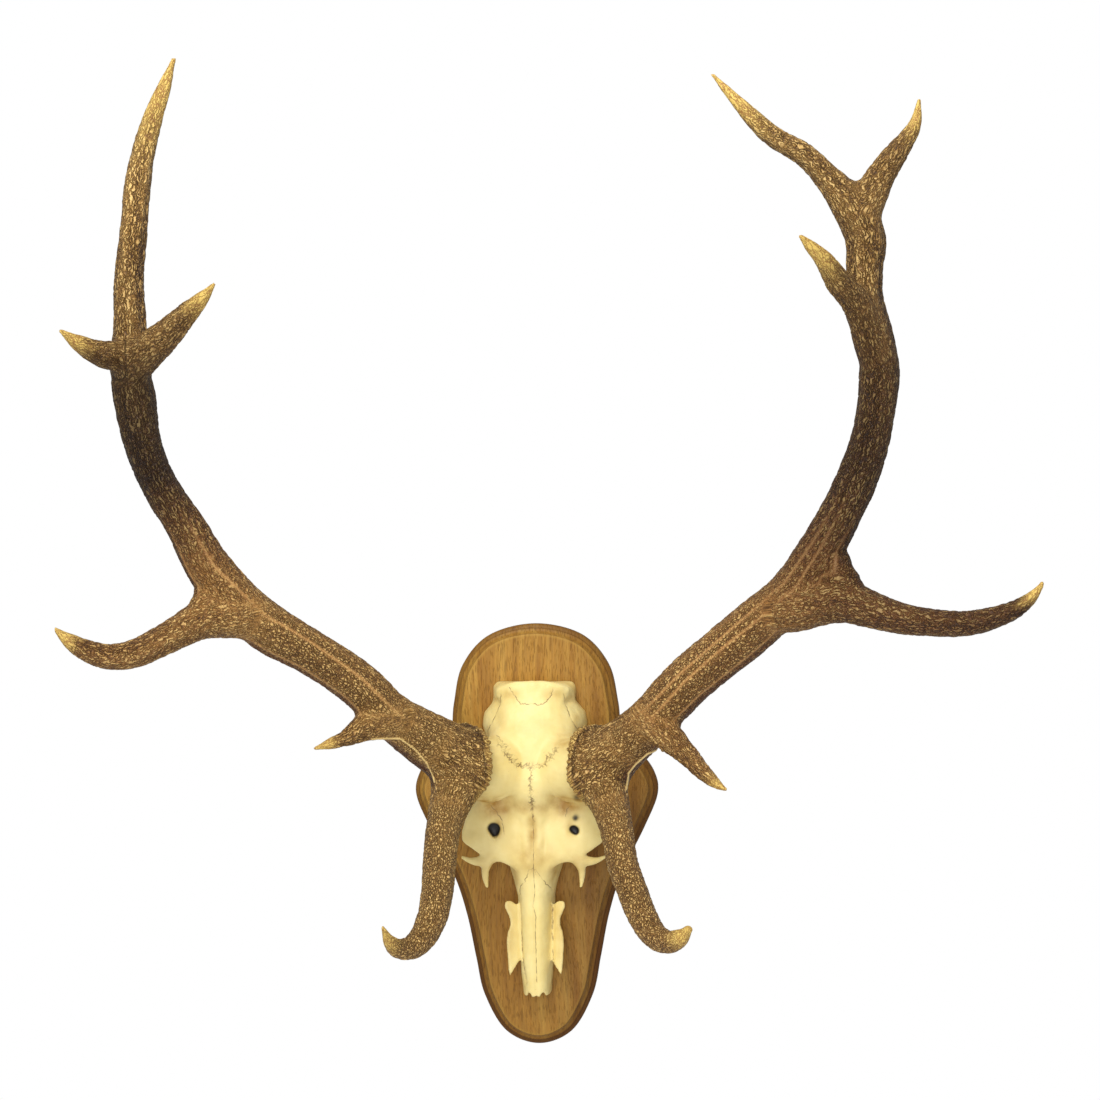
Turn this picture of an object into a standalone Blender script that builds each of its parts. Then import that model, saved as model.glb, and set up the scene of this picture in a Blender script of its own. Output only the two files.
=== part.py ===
# Antler mounting plaque: a red deer skull and its two antlers on an oak plaque.
# Origin at the middle of the plaque's back, which lies on the wall at y = 0.
# +Z is up, -Y comes out of the wall towards the viewer, +X is to the viewer's right.
# The values are in millimetres, and the objects are built in metres.

import math

import bmesh
import bpy
from mathutils import Matrix, Vector

MM = 0.001

# Plaque: half of the outline (x, z), from the top down, which is mirrored for the left half.
PLAQUE_HEIGHT = 418
PLAQUE_THICKNESS = 22
PLAQUE_HALF = [
    (46, 198), (73, 168), (82, 130), (86, 100), (103, 81), (117, 61), (120.5, 39),
    (107, 6), (84, -40), (71, -80), (62, -124), (54, -160), (33, -196),
]
PLAQUE_SPAN_STEPS = 3
# Moulded edge (inset from the outline, height above the wall): a round, a step and a cove up to the face.
MOULDING = [
    (0.8, 0), (0, 1), (0, 9.5), (1.2, 13), (4.2, 14.4), (4.6, 16.2), (7.6, 17.6), (9.6, 20.2),
    (10.6, PLAQUE_THICKNESS),
]
SHARP_ANGLE = 30

GAP = 0.3
BONE_BACK = PLAQUE_THICKNESS + GAP

# Skull: sections along its length (z, half width, height above the plaque, fullness).
SKULL_SECTIONS = [
    (152, 37, 34, 3.2), (148, 40.5, 41, 3.0), (142, 41, 45, 2.6), (134, 40, 48, 2.3), (122, 50, 54, 2.3),
    (110, 52, 62, 2.3), (96, 47, 69, 2.3), (80, 43, 75, 2.4), (62, 39, 78, 2.5), (46, 35, 75, 2.5),
    (32, 30, 66, 2.4), (14, 27, 61, 2.3), (-4, 27, 60, 2.3), (-20, 29, 58, 2.4), (-32, 25, 54, 2.5),
    (-44, 21, 51, 2.6), (-58, 18, 48, 2.6), (-90, 17.5, 44, 2.6),
    (-120, 16.5, 38, 2.6), (-156, 13.5, 29, 2.6),
]
SECTION_STEPS = 28
# Bone behind the saw cut, which the cut takes off again.
SAW_ALLOWANCE = 6
SAW_SIZE = 400
# Orbit roofs: sections outwards (x, lower z, upper z, height of the top, thickness).
ROOF_SECTIONS = [
    (14, -32, 56, 57, 12), (34, -22, 50, 58, 10), (48, -15, 46, 56, 9), (58, -9, 40, 53, 8),
    (65, -4, 25, 50, 7.5), (69.5, 0, 10, 48, 7),
]
ROOF_STEPS = 20
# Powers of the oval's rounding along the roof and across its thickness.
ROOF_ROUNDING = (0.5, 0.7)
# The crest at the back of the head, a route (x, y, z, radius) from side to side.
CREST = [
    (-38, -50.3, 143, 4.2), (-24, -58.5, 150, 5), (0, -60, 152.5, 5),
    (24, -58.5, 150, 5), (38, -50.3, 143, 4.2),
]
# Splinters of the cheek bone under each orbit, as routes (x, y, z, radius), right side.
CHEEK_SPURS = [
    [(34, -74, -12, 6), (46, -71, -18.5, 6), (58, -69, -20, 4), (71, -66, -16, 1.8)],
    [(41, -72, -15, 7), (46, -69, -26, 4.8), (47, -66, -36, 3.4), (45.5, -64, -47, 1.8)],
]
# Premaxilla splinter, a flat outline (outwards from the nasal bone, z), right side.
SPLINTER = [
    (-3, -60), (3, -66), (9, -61), (15.5, -61), (17, -66), (11.5, -77), (11, -85), (14, -92),
    (15, -103), (14, -116), (12, -135), (1, -119), (-4, -118),
]
SPLINTER_THICKNESS = 3.2
SPLINTER_ROOT = (14.5, -48)
SPLINTER_FALL = -24
# The hollow under the nasal bones, open at the nose, as sections (z, half width, height above its floor).
NOSE_HOLLOW = [(-175, 8.4, 19.2), (-110, 10, 22.8), (-80, 10.5, 24), (-48, 7.9, 18)]
NOSE_FLOOR = 4
HOLLOW_STEPS = 16
# Broken ends of the nasal bones: wedges from below (x, half width at the tip, depth).
NOSE_TIP = -156
NOSE_NOTCHES = [(-6.5, 4.0, 7), (0, 1.4, 14), (6.5, 4.0, 7)]
NOTCH_HEIGHT = 24
NOTCH_DEEPER = 6
# How much wider a wedge is at its base, and how far it starts below the bones.
NOTCH_SPREAD = 1.6
NOTCH_BELOW = 8
# Small openings through the orbit roofs.
FORAMEN_RADIUS = 3.4
FORAMEN_PLACE = (39.5, 12)
FORAMEN_HEIGHT = 55
FORAMEN_LENGTH = 40
FORAMEN_SIDES = 12

OAK = (0.30, 0.16, 0.055)
BONE = (0.84, 0.74, 0.44)
HORN = (0.21, 0.125, 0.062)

# Pedicles and burrs, the same on both sides but for a few millimetres.
BURR_CENTRE = {"left": (-62, -117, 79), "right": (66, -117, 77)}
BURR_AXIS = (0.70, -0.70, 0.12)
PEDICLE_ROOT = (34, -78, 68)
PEDICLE_RADII = (34, 26)
SEAT_DROP = 7
SEAT_CUTTER = 110
BURR_RADIUS = 36.5
BURR_DISC = (33.5, 35.5)
BURR_HEIGHT = 13
BURR_SIDES = 32
BEADS = 26
BEAD_RADIUS = 4.6
# How far the beads stray from an even ring: outwards, along the burr's axis and in their size.
BEAD_STRAY = (0.7, 1.6, 0.66)
BEAD_SIDES = (10, 8)

# Antlers: each branch is a route (x, y, z, radius), from its root to its tip.
LEFT_ANTLER = {
    "beam": [
        (-62, -117, 79, 34), (-78, -132, 92.5, 29.3), (-97, -147, 106.5, 26.2), (-125, -171, 130, 22.3),
        (-153, -195, 161, 21.5), (-191, -222, 191, 21), (-231.2, -245, 218, 23.2), (-271, -275, 266, 20.8),
        (-290, -295, 307, 17.8), (-306, -312, 338, 16.3), (-317.5, -330, 373, 16.3), (-321, -354, 419, 18.6),
        (-322, -365, 446, 17.6), (-319, -373, 474, 14.6), (-318.5, -378, 511, 13.4), (-314, -380, 553, 12),
        (-309.2, -376, 605, 10.9), (-299.3, -368, 653, 8.8), (-290, -358, 685, 5.8),
        (-283.2, -350, 710.5, 1.9),
    ],
    "brow": [
        (-64, -124, 74, 31), (-70, -145, 52, 22), (-74, -166, 36, 18),
        (-76, -188, 19, 16), (-76, -214, -6, 15.4),
        (-76, -240, -30, 14.6), (-80, -262, -51, 13.4), (-90, -282, -66, 11.4), (-102, -300, -67, 9),
        (-108.5, -316, -58.5, 6.2), (-113, -332, -43, 1.8),
    ],
    "bez": [
        (-121, -172, 128, 22), (-143, -191, 122, 15), (-160, -212, 112.5, 8.4), (-174, -225, 107.5, 5.4),
        (-187, -236, 104, 1.6),
    ],
    "trez": [
        (-246, -256, 229, 24), (-277, -278, 224, 18.5), (-295, -295, 214, 15), (-312, -312, 204, 13.2),
        (-330, -326, 195, 12.4), (-348, -340, 193, 11.2), (-364, -352, 199, 9.6), (-378, -362, 209, 6.4),
        (-388, -371, 219.5, 1.9),
    ],
    "trez web": [(-266, -274, 264, 14), (-280, -281, 228, 13.5)],
    "crown inner": [
        (-324, -360, 438, 17), (-304, -386, 451.4, 16), (-279, -410, 466, 12.8), (-255, -432, 483, 9),
        (-241, -443, 493, 5.6), (-230, -451, 503, 1.7),
    ],
    "crown outer": [
        (-318, -360, 440, 16), (-326, -384, 449, 13.6), (-339, -406, 452, 10.8), (-351, -426, 459, 7),
        (-362, -441, 468, 1.8),
    ],
}
RIGHT_ANTLER = {
    "beam": [
        (66, -117, 77, 34), (81, -131, 90, 28.5), (99, -145, 105, 24.2),
        (125, -167, 131, 23), (154, -192, 161.5, 23),
        (180.5, -212, 184.5, 23.1), (213.5, -236, 212.5, 23.4), (249, -262, 246, 22), (270, -282, 280, 20),
        (286, -298, 310, 18.9), (304, -318, 351, 17.8), (315, -338, 396, 16.7), (317, -355, 437, 17.6),
        (313, -366, 460, 16.5), (305.5, -374, 485, 15.4), (304, -380, 513, 15.6), (304.5, -384, 540, 17.4),
        (291, -387, 568, 16.4), (273, -388, 590, 11.4), (255, -390, 608, 9.8),
        (228, -392, 624, 8.7), (214, -392, 637, 7.7),
        (200, -390, 653, 5.6), (187, -388, 668, 3.2), (178, -386, 679, 1.5),
    ],
    "brow": [
        (67, -124, 73, 31), (74, -143, 54, 22), (80, -163, 40, 17.8),
        (86.5, -190, 18.5, 15), (92, -216, -5, 14.3),
        (100.5, -238, -24, 14), (109.5, -260, -43, 13.4), (120, -280, -57, 12), (132, -298, -61, 10.4),
        (144, -314, -55, 8), (152, -325, -45, 3.6),
    ],
    "bez": [
        (118, -167, 126, 21), (131, -183, 112, 15.6), (142, -196, 102, 12),
        (154.5, -214, 91, 9.6), (166, -232, 80, 7.4),
        (176.5, -246, 72, 5), (186, -259, 67, 1.7),
    ],
    "trez": [
        (238, -256, 228, 23.5), (287, -284, 235, 20), (310, -300, 228, 16.2), (333, -312, 221, 13.6),
        (360, -326, 217, 12), (388, -340, 216, 11), (411, -352, 221, 9.6), (430.5, -361, 229.5, 7.5),
        (442, -368, 239.5, 4.9), (450, -373, 251, 1.9),
    ],
    "trez web": [(270, -282, 289, 16), (286, -289, 262, 13.5), (302, -297, 234, 11)],
    "crown front": [
        (313, -360, 446, 17), (297.5, -391, 482.5, 13), (279, -416, 501, 10.6), (265.8, -436, 516.8, 7.4),
        (255, -446, 526.4, 4.8), (247, -453, 533.6, 1.8),
    ],
    "crown fork": [
        (303, -386, 564, 17), (316, -390, 587, 12.8), (330, -397, 607, 10.2),
        (338, -399, 618, 8), (344.7, -400, 629, 5.8),
        (349, -400, 651, 1.8),
    ],
}
ROUTE_STEPS = 5
TUBE_SIDES = 3

ANTLER_VOXEL = 2.2
SKULL_VOXEL = 1.6
ANTLER_TRIANGLES = 2900
SKULL_TRIANGLES = 2650


def clear_scene():
    for old in list(bpy.data.objects):
        bpy.data.objects.remove(old, do_unlink=True)


def new_collection(name):
    folder = bpy.data.collections.new(name)
    bpy.context.scene.collection.children.link(folder)
    return folder


def new_object(name, mesh, folder):
    obj = bpy.data.objects.new(name, mesh)
    folder.objects.link(obj)
    return obj


def material(name, colour, roughness):
    finish = bpy.data.materials.new(name)
    finish.use_nodes = True
    shader = finish.node_tree.nodes["Principled BSDF"]
    shader.inputs["Base Color"].default_value = (*colour, 1)
    shader.inputs["Roughness"].default_value = roughness
    shader.inputs["Metallic"].default_value = 0
    return finish


def metres(x, y, z):
    return Vector((x, y, z)) * MM


def smooth_loop(points, steps):
    """A closed smooth line through the points, with the given steps between each two."""
    found = []
    count = len(points)
    for i in range(count):
        a, b, c, d = (Vector(points[(i + k) % count]) for k in (-1, 0, 1, 2))
        bend = 2 * a - 5 * b + 4 * c - d
        twist = 3 * (b - c) + d - a
        for step in range(steps):
            t = step / steps
            found.append(b + 0.5 * ((c - a) * t + bend * t**2 + twist * t**3))
    return found


def outward(points, i):
    """The outward direction of a clockwise loop in the plane, at one of its points."""
    along = points[(i + 1) % len(points)] - points[i - 1]
    return Vector((-along.y, along.x)).normalized()


def loft(rings):
    """A closed solid through rings of equal count, with a flat face at each end."""
    bm = bmesh.new()
    rows = [[bm.verts.new(point) for point in ring] for ring in rings]
    for row, following in zip(rows, rows[1:]):
        for i in range(len(row)):
            bm.faces.new((row[i - 1], row[i], following[i], following[i - 1]))
    bm.faces.new(rows[0])
    bm.faces.new(reversed(rows[-1]))
    bmesh.ops.recalc_face_normals(bm, faces=bm.faces)
    return bm


def mesh_from(bm, name):
    mesh = bpy.data.meshes.new(name)
    bm.to_mesh(mesh)
    bm.free()
    return mesh


def plaque(folder, finish):
    """One oak board: the outline's insets at each height of the moulding."""
    half = [(0, PLAQUE_HEIGHT / 2), *PLAQUE_HALF, (0, -PLAQUE_HEIGHT / 2)]
    outline = half + [(-x, z) for x, z in reversed(PLAQUE_HALF)]
    edge = smooth_loop(outline, PLAQUE_SPAN_STEPS)
    rings = []
    for inset, height in MOULDING:
        ring = []
        for i, point in enumerate(edge):
            place = point - inset * outward(edge, i)
            ring.append(metres(place.x, -height, place.y))
        rings.append(ring)
    board = new_object("plaque", mesh_from(loft(rings), "plaque"), folder)
    board.data.materials.append(finish)
    board.data.shade_smooth()
    board.data.set_sharp_from_angle(angle=math.radians(SHARP_ANGLE))
    return board


def add_mesh(bm, mesh, place=Matrix.Identity(4)):
    """Adds a closed mesh to a body in the making."""
    mesh.transform(place)
    bm.from_mesh(mesh)
    bpy.data.meshes.remove(mesh)


def route_tube(bm, route):
    """A round branch along a smooth route, with its own radius at each point."""
    curve = bpy.data.curves.new("route", "CURVE")
    curve.dimensions = "3D"
    curve.bevel_depth = MM
    curve.bevel_resolution = TUBE_SIDES
    curve.resolution_u = ROUTE_STEPS
    curve.use_fill_caps = True
    spline = curve.splines.new("BEZIER")
    spline.bezier_points.add(len(route) - 1)
    spline.radius_interpolation = "CARDINAL"
    for point, (x, y, z, radius) in zip(spline.bezier_points, route):
        point.co = metres(x, y, z)
        point.radius = radius
        point.handle_left_type = "AUTO"
        point.handle_right_type = "AUTO"
    guide = bpy.data.objects.new("route", curve)
    bpy.context.scene.collection.objects.link(guide)
    bpy.context.view_layer.update()
    mesh = bpy.data.meshes.new_from_object(guide.evaluated_get(bpy.context.evaluated_depsgraph_get()))
    bpy.data.objects.remove(guide, do_unlink=True)
    add_mesh(bm, mesh)
    bmesh.ops.remove_doubles(bm, verts=bm.verts, dist=0.001 * MM)


def frame_along(centre, axis):
    """A frame at the centre whose z runs along the axis."""
    turn = Vector(axis).normalized().to_track_quat("Z", "Y").to_matrix().to_4x4()
    return Matrix.Translation(centre) @ turn


def burr_frame(side):
    sign = -1 if side == "left" else 1
    return frame_along(metres(*BURR_CENTRE[side]), (sign * BURR_AXIS[0], BURR_AXIS[1], BURR_AXIS[2]))


def ring_point(angle, radius, height):
    return Vector((radius * math.cos(angle), radius * math.sin(angle), height)) * MM


def burr(bm, side):
    """The coronet: a thick disc with a ring of beads round its rim."""
    place = burr_frame(side)
    lower, upper = BURR_DISC
    bmesh.ops.create_cone(
        bm, cap_ends=True, segments=BURR_SIDES, radius1=lower * MM, radius2=upper * MM,
        depth=BURR_HEIGHT * MM, matrix=place,
    )
    out, along, growth = BEAD_STRAY
    round_sides, height_sides = BEAD_SIDES
    for i in range(BEADS):
        angle = 2 * math.pi * i / BEADS
        radius = BURR_RADIUS + out * math.sin(3 * angle + 1)
        middle = place @ ring_point(angle, radius, along * math.sin(5 * angle))
        size = BEAD_RADIUS + growth * math.sin(7 * angle)
        bmesh.ops.create_uvsphere(
            bm, u_segments=round_sides, v_segments=height_sides, radius=size * MM,
            matrix=Matrix.Translation(middle),
        )


def seat_cutter(side, height, folder):
    """A box whose lower face lies on the seat of the burr, at a height along its axis."""
    bm = bmesh.new()
    middle = metres(0, 0, height + SEAT_CUTTER / 2)
    bmesh.ops.create_cube(bm, size=SEAT_CUTTER * MM, matrix=Matrix.Translation(middle))
    cutter = new_object(f"{side}_seat", mesh_from(bm, "seat"), folder)
    cutter.matrix_world = burr_frame(side)
    hide(cutter)
    return cutter


def hide(cutter):
    cutter.hide_render = True
    cutter.display_type = "WIRE"


def cut(obj, cutter):
    step = obj.modifiers.new(cutter.name, "BOOLEAN")
    step.operation = "DIFFERENCE"
    step.solver = "EXACT"
    step.object = cutter


def blend(obj, voxel, passes):
    """Makes one skin of the overlapping shapes, and evens it."""
    skin = obj.modifiers.new("skin", "REMESH")
    skin.mode = "VOXEL"
    skin.voxel_size = voxel * MM
    even = obj.modifiers.new("even", "SMOOTH")
    even.factor = 0.5
    even.iterations = passes


def thin(obj, triangles):
    """Thins the skin to about the given number of triangles."""
    bpy.context.view_layer.update()
    shown = obj.evaluated_get(bpy.context.evaluated_depsgraph_get()).to_mesh()
    shown.calc_loop_triangles()
    step = obj.modifiers.new("thin", "DECIMATE")
    step.ratio = triangles / len(shown.loop_triangles)


def antler(side, branches, folder, cutters, finish):
    """One bone: the burr, the beam and its tines, cut flat where it sits on the pedicle."""
    bm = bmesh.new()
    for route in branches.values():
        route_tube(bm, route)
    burr(bm, side)
    name = f"{side}_antler"
    bone = new_object(name, mesh_from(bm, name), folder)
    blend(bone, ANTLER_VOXEL, 5)
    thin(bone, ANTLER_TRIANGLES)
    base = seat_cutter(side, -SEAT_DROP - SEAT_CUTTER, cutters)
    base.name = f"{side}_base"
    cut(bone, base)
    bone.data.materials.append(finish)
    bone.data.shade_smooth()
    return bone


def skull_section(z, half_width, height, fullness):
    """A rounded arch that stands on the plaque, as a closed ring."""
    ring = []
    for i in range(SECTION_STEPS + 1):
        angle = math.pi * i / SECTION_STEPS
        across = math.copysign(abs(math.cos(angle)) ** (2 / fullness), math.cos(angle))
        up = math.sin(angle) ** (2 / fullness) if 0 < i < SECTION_STEPS else 0
        ring.append(metres(half_width * across, -BONE_BACK - height * up, z))
    ring.append(metres(-half_width, -BONE_BACK + SAW_ALLOWANCE, z))
    ring.append(metres(half_width, -BONE_BACK + SAW_ALLOWANCE, z))
    return ring


def roof_section(sign, x, low, high, top, thickness):
    """One cut across an orbit roof: a flat oval between two heights."""
    ring = []
    middle = (low + high) / 2
    half = (high - low) / 2
    centre = PLAQUE_THICKNESS + top - thickness / 2
    lengthways, across = ROOF_ROUNDING
    for i in range(ROOF_STEPS):
        angle = 2 * math.pi * i / ROOF_STEPS
        along = math.copysign(abs(math.cos(angle)) ** lengthways, math.cos(angle))
        out = math.copysign(abs(math.sin(angle)) ** across, math.sin(angle))
        ring.append(metres(sign * x, -centre - out * thickness / 2, middle + half * along))
    return ring


def add_bmesh(bm, part):
    add_mesh(bm, mesh_from(part, "part"))


def splinter(bm, sign):
    """A thin plate of the premaxilla, from the side of the nasal bone down towards the plaque."""
    curve = bpy.data.curves.new("splinter", "CURVE")
    curve.dimensions = "2D"
    curve.fill_mode = "BOTH"
    curve.extrude = SPLINTER_THICKNESS / 2 * MM
    spline = curve.splines.new("POLY")
    spline.points.add(len(SPLINTER) - 1)
    for point, (x, z) in zip(spline.points, SPLINTER):
        point.co = (sign * x * MM, z * MM, 0, 1)
    spline.use_cyclic_u = True
    guide = bpy.data.objects.new("splinter", curve)
    bpy.context.scene.collection.objects.link(guide)
    bpy.context.view_layer.update()
    mesh = bpy.data.meshes.new_from_object(guide.evaluated_get(bpy.context.evaluated_depsgraph_get()))
    bpy.data.objects.remove(guide, do_unlink=True)
    stand = Matrix.Rotation(math.radians(90), 4, "X")
    fall = Matrix.Rotation(sign * math.radians(SPLINTER_FALL), 4, "Z")
    root = Matrix.Translation(metres(sign * SPLINTER_ROOT[0], SPLINTER_ROOT[1], 0))
    add_mesh(bm, mesh, root @ fall @ stand)
    bmesh.ops.remove_doubles(bm, verts=bm.verts, dist=0.001 * MM)


def nose_cutter(folder):
    """The hollow under the nasal bones."""
    rings = []
    for z, half_width, height in NOSE_HOLLOW:
        ring = []
        for i in range(HOLLOW_STEPS + 1):
            angle = math.pi * i / HOLLOW_STEPS
            up = NOSE_FLOOR + height * abs(math.sin(angle)) ** 0.7
            ring.append(metres(half_width * math.cos(angle), -BONE_BACK - up, z))
        ring.append(metres(-half_width, -BONE_BACK + SAW_ALLOWANCE, z))
        ring.append(metres(half_width, -BONE_BACK + SAW_ALLOWANCE, z))
        rings.append(ring)
    cutter = new_object("nose_hollow", mesh_from(loft(rings), "nose_hollow"), folder)
    hide(cutter)
    return cutter


def notch_cutter(folder):
    """The broken ends of the nasal bones: wedges let into them from below."""
    bm = bmesh.new()
    for x, half_width, depth in NOSE_NOTCHES:
        middle = NOSE_TIP + (depth - NOTCH_BELOW) / 2
        place = Matrix.Translation(metres(x, -BONE_BACK - NOTCH_HEIGHT, middle))
        bmesh.ops.create_cone(
            bm, cap_ends=True, segments=4, radius1=half_width * NOTCH_SPREAD * MM, radius2=GAP * MM,
            depth=(depth + NOTCH_BELOW) * MM, matrix=place @ Matrix.Diagonal((1, NOTCH_DEEPER, 1, 1)),
        )
    cutter = new_object("nose_notches", mesh_from(bm, "nose_notches"), folder)
    hide(cutter)
    return cutter


def foramen_cutter(folder):
    """The small openings through each orbit roof."""
    bm = bmesh.new()
    for sign in (-1, 1):
        x, z = FORAMEN_PLACE
        place = Matrix.Translation(metres(sign * x, -PLAQUE_THICKNESS - FORAMEN_HEIGHT, z))
        bmesh.ops.create_cone(
            bm, cap_ends=True, segments=FORAMEN_SIDES,
            radius1=FORAMEN_RADIUS * MM, radius2=FORAMEN_RADIUS * MM, depth=FORAMEN_LENGTH * MM,
            matrix=place @ Matrix.Rotation(math.radians(90), 4, "X"),
        )
    cutter = new_object("foramina", mesh_from(bm, "foramina"), folder)
    hide(cutter)
    return cutter


def back_cutter(folder):
    """The saw cut that lays the skull flat on the plaque."""
    bm = bmesh.new()
    middle = metres(0, -BONE_BACK + SAW_SIZE / 2, 0)
    bmesh.ops.create_cube(bm, size=SAW_SIZE * MM, matrix=Matrix.Translation(middle))
    cutter = new_object("saw_cut", mesh_from(bm, "saw_cut"), folder)
    hide(cutter)
    return cutter


def skull(folder, cutters, finish):
    """One bone: braincase, pedicles, orbit roofs, nasal bones and splinters, sawn flat at the back."""
    bm = bmesh.new()
    add_bmesh(bm, loft([skull_section(*section) for section in SKULL_SECTIONS]))
    route_tube(bm, CREST)
    for side, sign in (("left", -1), ("right", 1)):
        add_bmesh(bm, loft([roof_section(sign, *section) for section in ROOF_SECTIONS]))
        x, y, z = BURR_CENTRE[side]
        root = (sign * PEDICLE_ROOT[0], PEDICLE_ROOT[1], PEDICLE_ROOT[2], PEDICLE_RADII[0])
        route_tube(bm, [root, (x, y, z, PEDICLE_RADII[1])])
        for route in CHEEK_SPURS:
            route_tube(bm, [(sign * px, py, pz, radius) for px, py, pz, radius in route])
        splinter(bm, sign)
    bone = new_object("skull", mesh_from(bm, "skull"), folder)
    blend(bone, SKULL_VOXEL, 0)
    cut(bone, nose_cutter(cutters))
    cut(bone, notch_cutter(cutters))
    cut(bone, foramen_cutter(cutters))
    blend(bone, SKULL_VOXEL, 3)
    thin(bone, SKULL_TRIANGLES)
    for side in ("left", "right"):
        cut(bone, seat_cutter(side, -SEAT_DROP - GAP, cutters))
    cut(bone, back_cutter(cutters))
    bone.data.materials.append(finish)
    bone.data.shade_smooth()
    return bone


def main():
    clear_scene()
    folder = new_collection("antler_mounting_plaque")
    cutters = new_collection("cutters")
    plaque(folder, material("oak", OAK, 0.5))
    skull(folder, cutters, material("bone", BONE, 0.6))
    horn = material("antler_bone", HORN, 0.7)
    antler("left", LEFT_ANTLER, folder, cutters, horn)
    antler("right", RIGHT_ANTLER, folder, cutters, horn)


main()
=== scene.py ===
import math

import bmesh
import bpy
import numpy as np
from mathutils import Matrix, Vector, noise


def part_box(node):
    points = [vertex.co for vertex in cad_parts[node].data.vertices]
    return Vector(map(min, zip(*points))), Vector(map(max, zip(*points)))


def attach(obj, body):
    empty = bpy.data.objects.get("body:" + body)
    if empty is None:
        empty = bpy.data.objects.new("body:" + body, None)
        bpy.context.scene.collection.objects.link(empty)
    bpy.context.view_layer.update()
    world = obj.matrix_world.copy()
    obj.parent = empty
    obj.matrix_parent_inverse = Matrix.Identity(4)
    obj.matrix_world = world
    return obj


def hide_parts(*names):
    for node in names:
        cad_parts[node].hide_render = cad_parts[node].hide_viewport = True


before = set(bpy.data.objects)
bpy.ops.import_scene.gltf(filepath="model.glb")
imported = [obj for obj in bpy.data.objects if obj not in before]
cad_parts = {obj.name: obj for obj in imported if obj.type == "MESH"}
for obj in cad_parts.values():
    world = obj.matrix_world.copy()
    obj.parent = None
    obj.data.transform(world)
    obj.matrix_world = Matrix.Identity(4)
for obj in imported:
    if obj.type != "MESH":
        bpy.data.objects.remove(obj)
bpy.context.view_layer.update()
mm = 0.001  # shapes are written in millimetres, like the board and bones were measured
joinWithin = 0.001 * mm


def metres(x, y, z):
    return Vector((x, y, z)) * mm


def newObject(name, mesh):
    obj = bpy.data.objects.new(name, mesh)
    bpy.context.scene.collection.objects.link(obj)
    return obj


def meshFrom(bm, name):
    mesh = bpy.data.meshes.new(name)
    bm.to_mesh(mesh)
    bm.free()
    return mesh


def addMesh(bm, mesh, place=Matrix.Identity(4)):
    mesh.transform(place)
    bm.from_mesh(mesh)
    bpy.data.meshes.remove(mesh)


def readVertices(mesh, kind):
    flat = np.empty(len(mesh.vertices) * 3)
    mesh.vertices.foreach_get(kind, flat)
    return flat.reshape(-1, 3)


def getPoints(mesh):
    return readVertices(mesh, "co") / mm


def setPoints(mesh, points):
    mesh.vertices.foreach_set("co", (points * mm).ravel())
    mesh.update()


def getNormals(mesh):
    return readVertices(mesh, "normal")


def storeValue(mesh, name, values):
    mesh.attributes.new(name, "FLOAT", "POINT").data.foreach_set("value", values)


def storeVector(mesh, name, values):
    mesh.attributes.new(name, "FLOAT_VECTOR", "POINT").data.foreach_set("vector", values.ravel())


def noiseAt(points):
    return np.array([noise.noise(point) for point in points.tolist()])


def ridgesAt(points, slope=0.38, roundness=0.7):
    # 1 on top of each grain, falling to 0 in the thin grooves between them
    reach = np.array([noise.voronoi(point)[0][:2] for point in points.tolist()])
    return np.clip((reach[:, 1] - reach[:, 0]) / slope, 0, 1) ** roundness


def fade(values, start, end):
    part = np.clip((values - start) / (end - start), 0, 1)
    return part * part * (3 - 2 * part)


def melt(mesh, points, weight, passes, strength=0.6):
    # evens the skin where the weight says so, as if the joints there had grown together
    ends = np.empty(len(mesh.edges) * 2, int)
    mesh.edges.foreach_get("vertices", ends)
    a, b = ends.reshape(-1, 2).T
    count = len(points)
    neighbours = np.bincount(a, minlength=count) + np.bincount(b, minlength=count)
    pull = (strength * weight / neighbours)[:, None]
    for _ in range(passes):
        total = np.stack([
            np.bincount(a, points[b, k], count) + np.bincount(b, points[a, k], count) for k in range(3)
        ], axis=1)
        points = points + pull * (total - points * neighbours[:, None])
    return points


def finishedMesh(obj):
    # the mesh as it stands after the curve's bevel or the modifiers
    bpy.context.view_layer.update()
    return bpy.data.meshes.new_from_object(obj.evaluated_get(bpy.context.evaluated_depsgraph_get()))


def meshFromCurve(name, curve):
    guide = newObject(name, curve)
    mesh = finishedMesh(guide)
    bpy.data.objects.remove(guide, do_unlink=True)
    return mesh


def applyModifiers(obj):
    done = finishedMesh(obj)
    old = obj.data
    obj.modifiers.clear()
    obj.data = done
    bpy.data.meshes.remove(old)


def skinOver(obj, voxel, passes):
    skin = obj.modifiers.new("skin", "REMESH")
    skin.mode = "VOXEL"
    skin.voxel_size = voxel * mm
    even = obj.modifiers.new("even", "SMOOTH")
    even.factor = 0.5
    even.iterations = passes


def takeAway(obj, bm, name):
    cutter = newObject(name, meshFrom(bm, name))
    step = obj.modifiers.new(name, "BOOLEAN")
    step.operation = "DIFFERENCE"
    step.solver = "EXACT"
    step.object = cutter
    return cutter


def cutFlat(mesh, point, away):
    # saws off what lies beyond the plane and closes the cut
    bm = bmesh.new()
    bm.from_mesh(mesh)
    everything = bm.verts[:] + bm.edges[:] + bm.faces[:]
    sawn = bmesh.ops.bisect_plane(
        bm, geom=everything, dist=1e-6 * mm, clear_outer=True,
        plane_co=Vector(point) * mm, plane_no=Vector(away),
    )
    rim = [edge for edge in sawn["geom_cut"] if isinstance(edge, bmesh.types.BMEdge)]
    bmesh.ops.edgeloop_fill(bm, edges=rim)
    for edge in rim:
        edge.smooth = False
    bm.to_mesh(mesh)
    bm.free()


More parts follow.
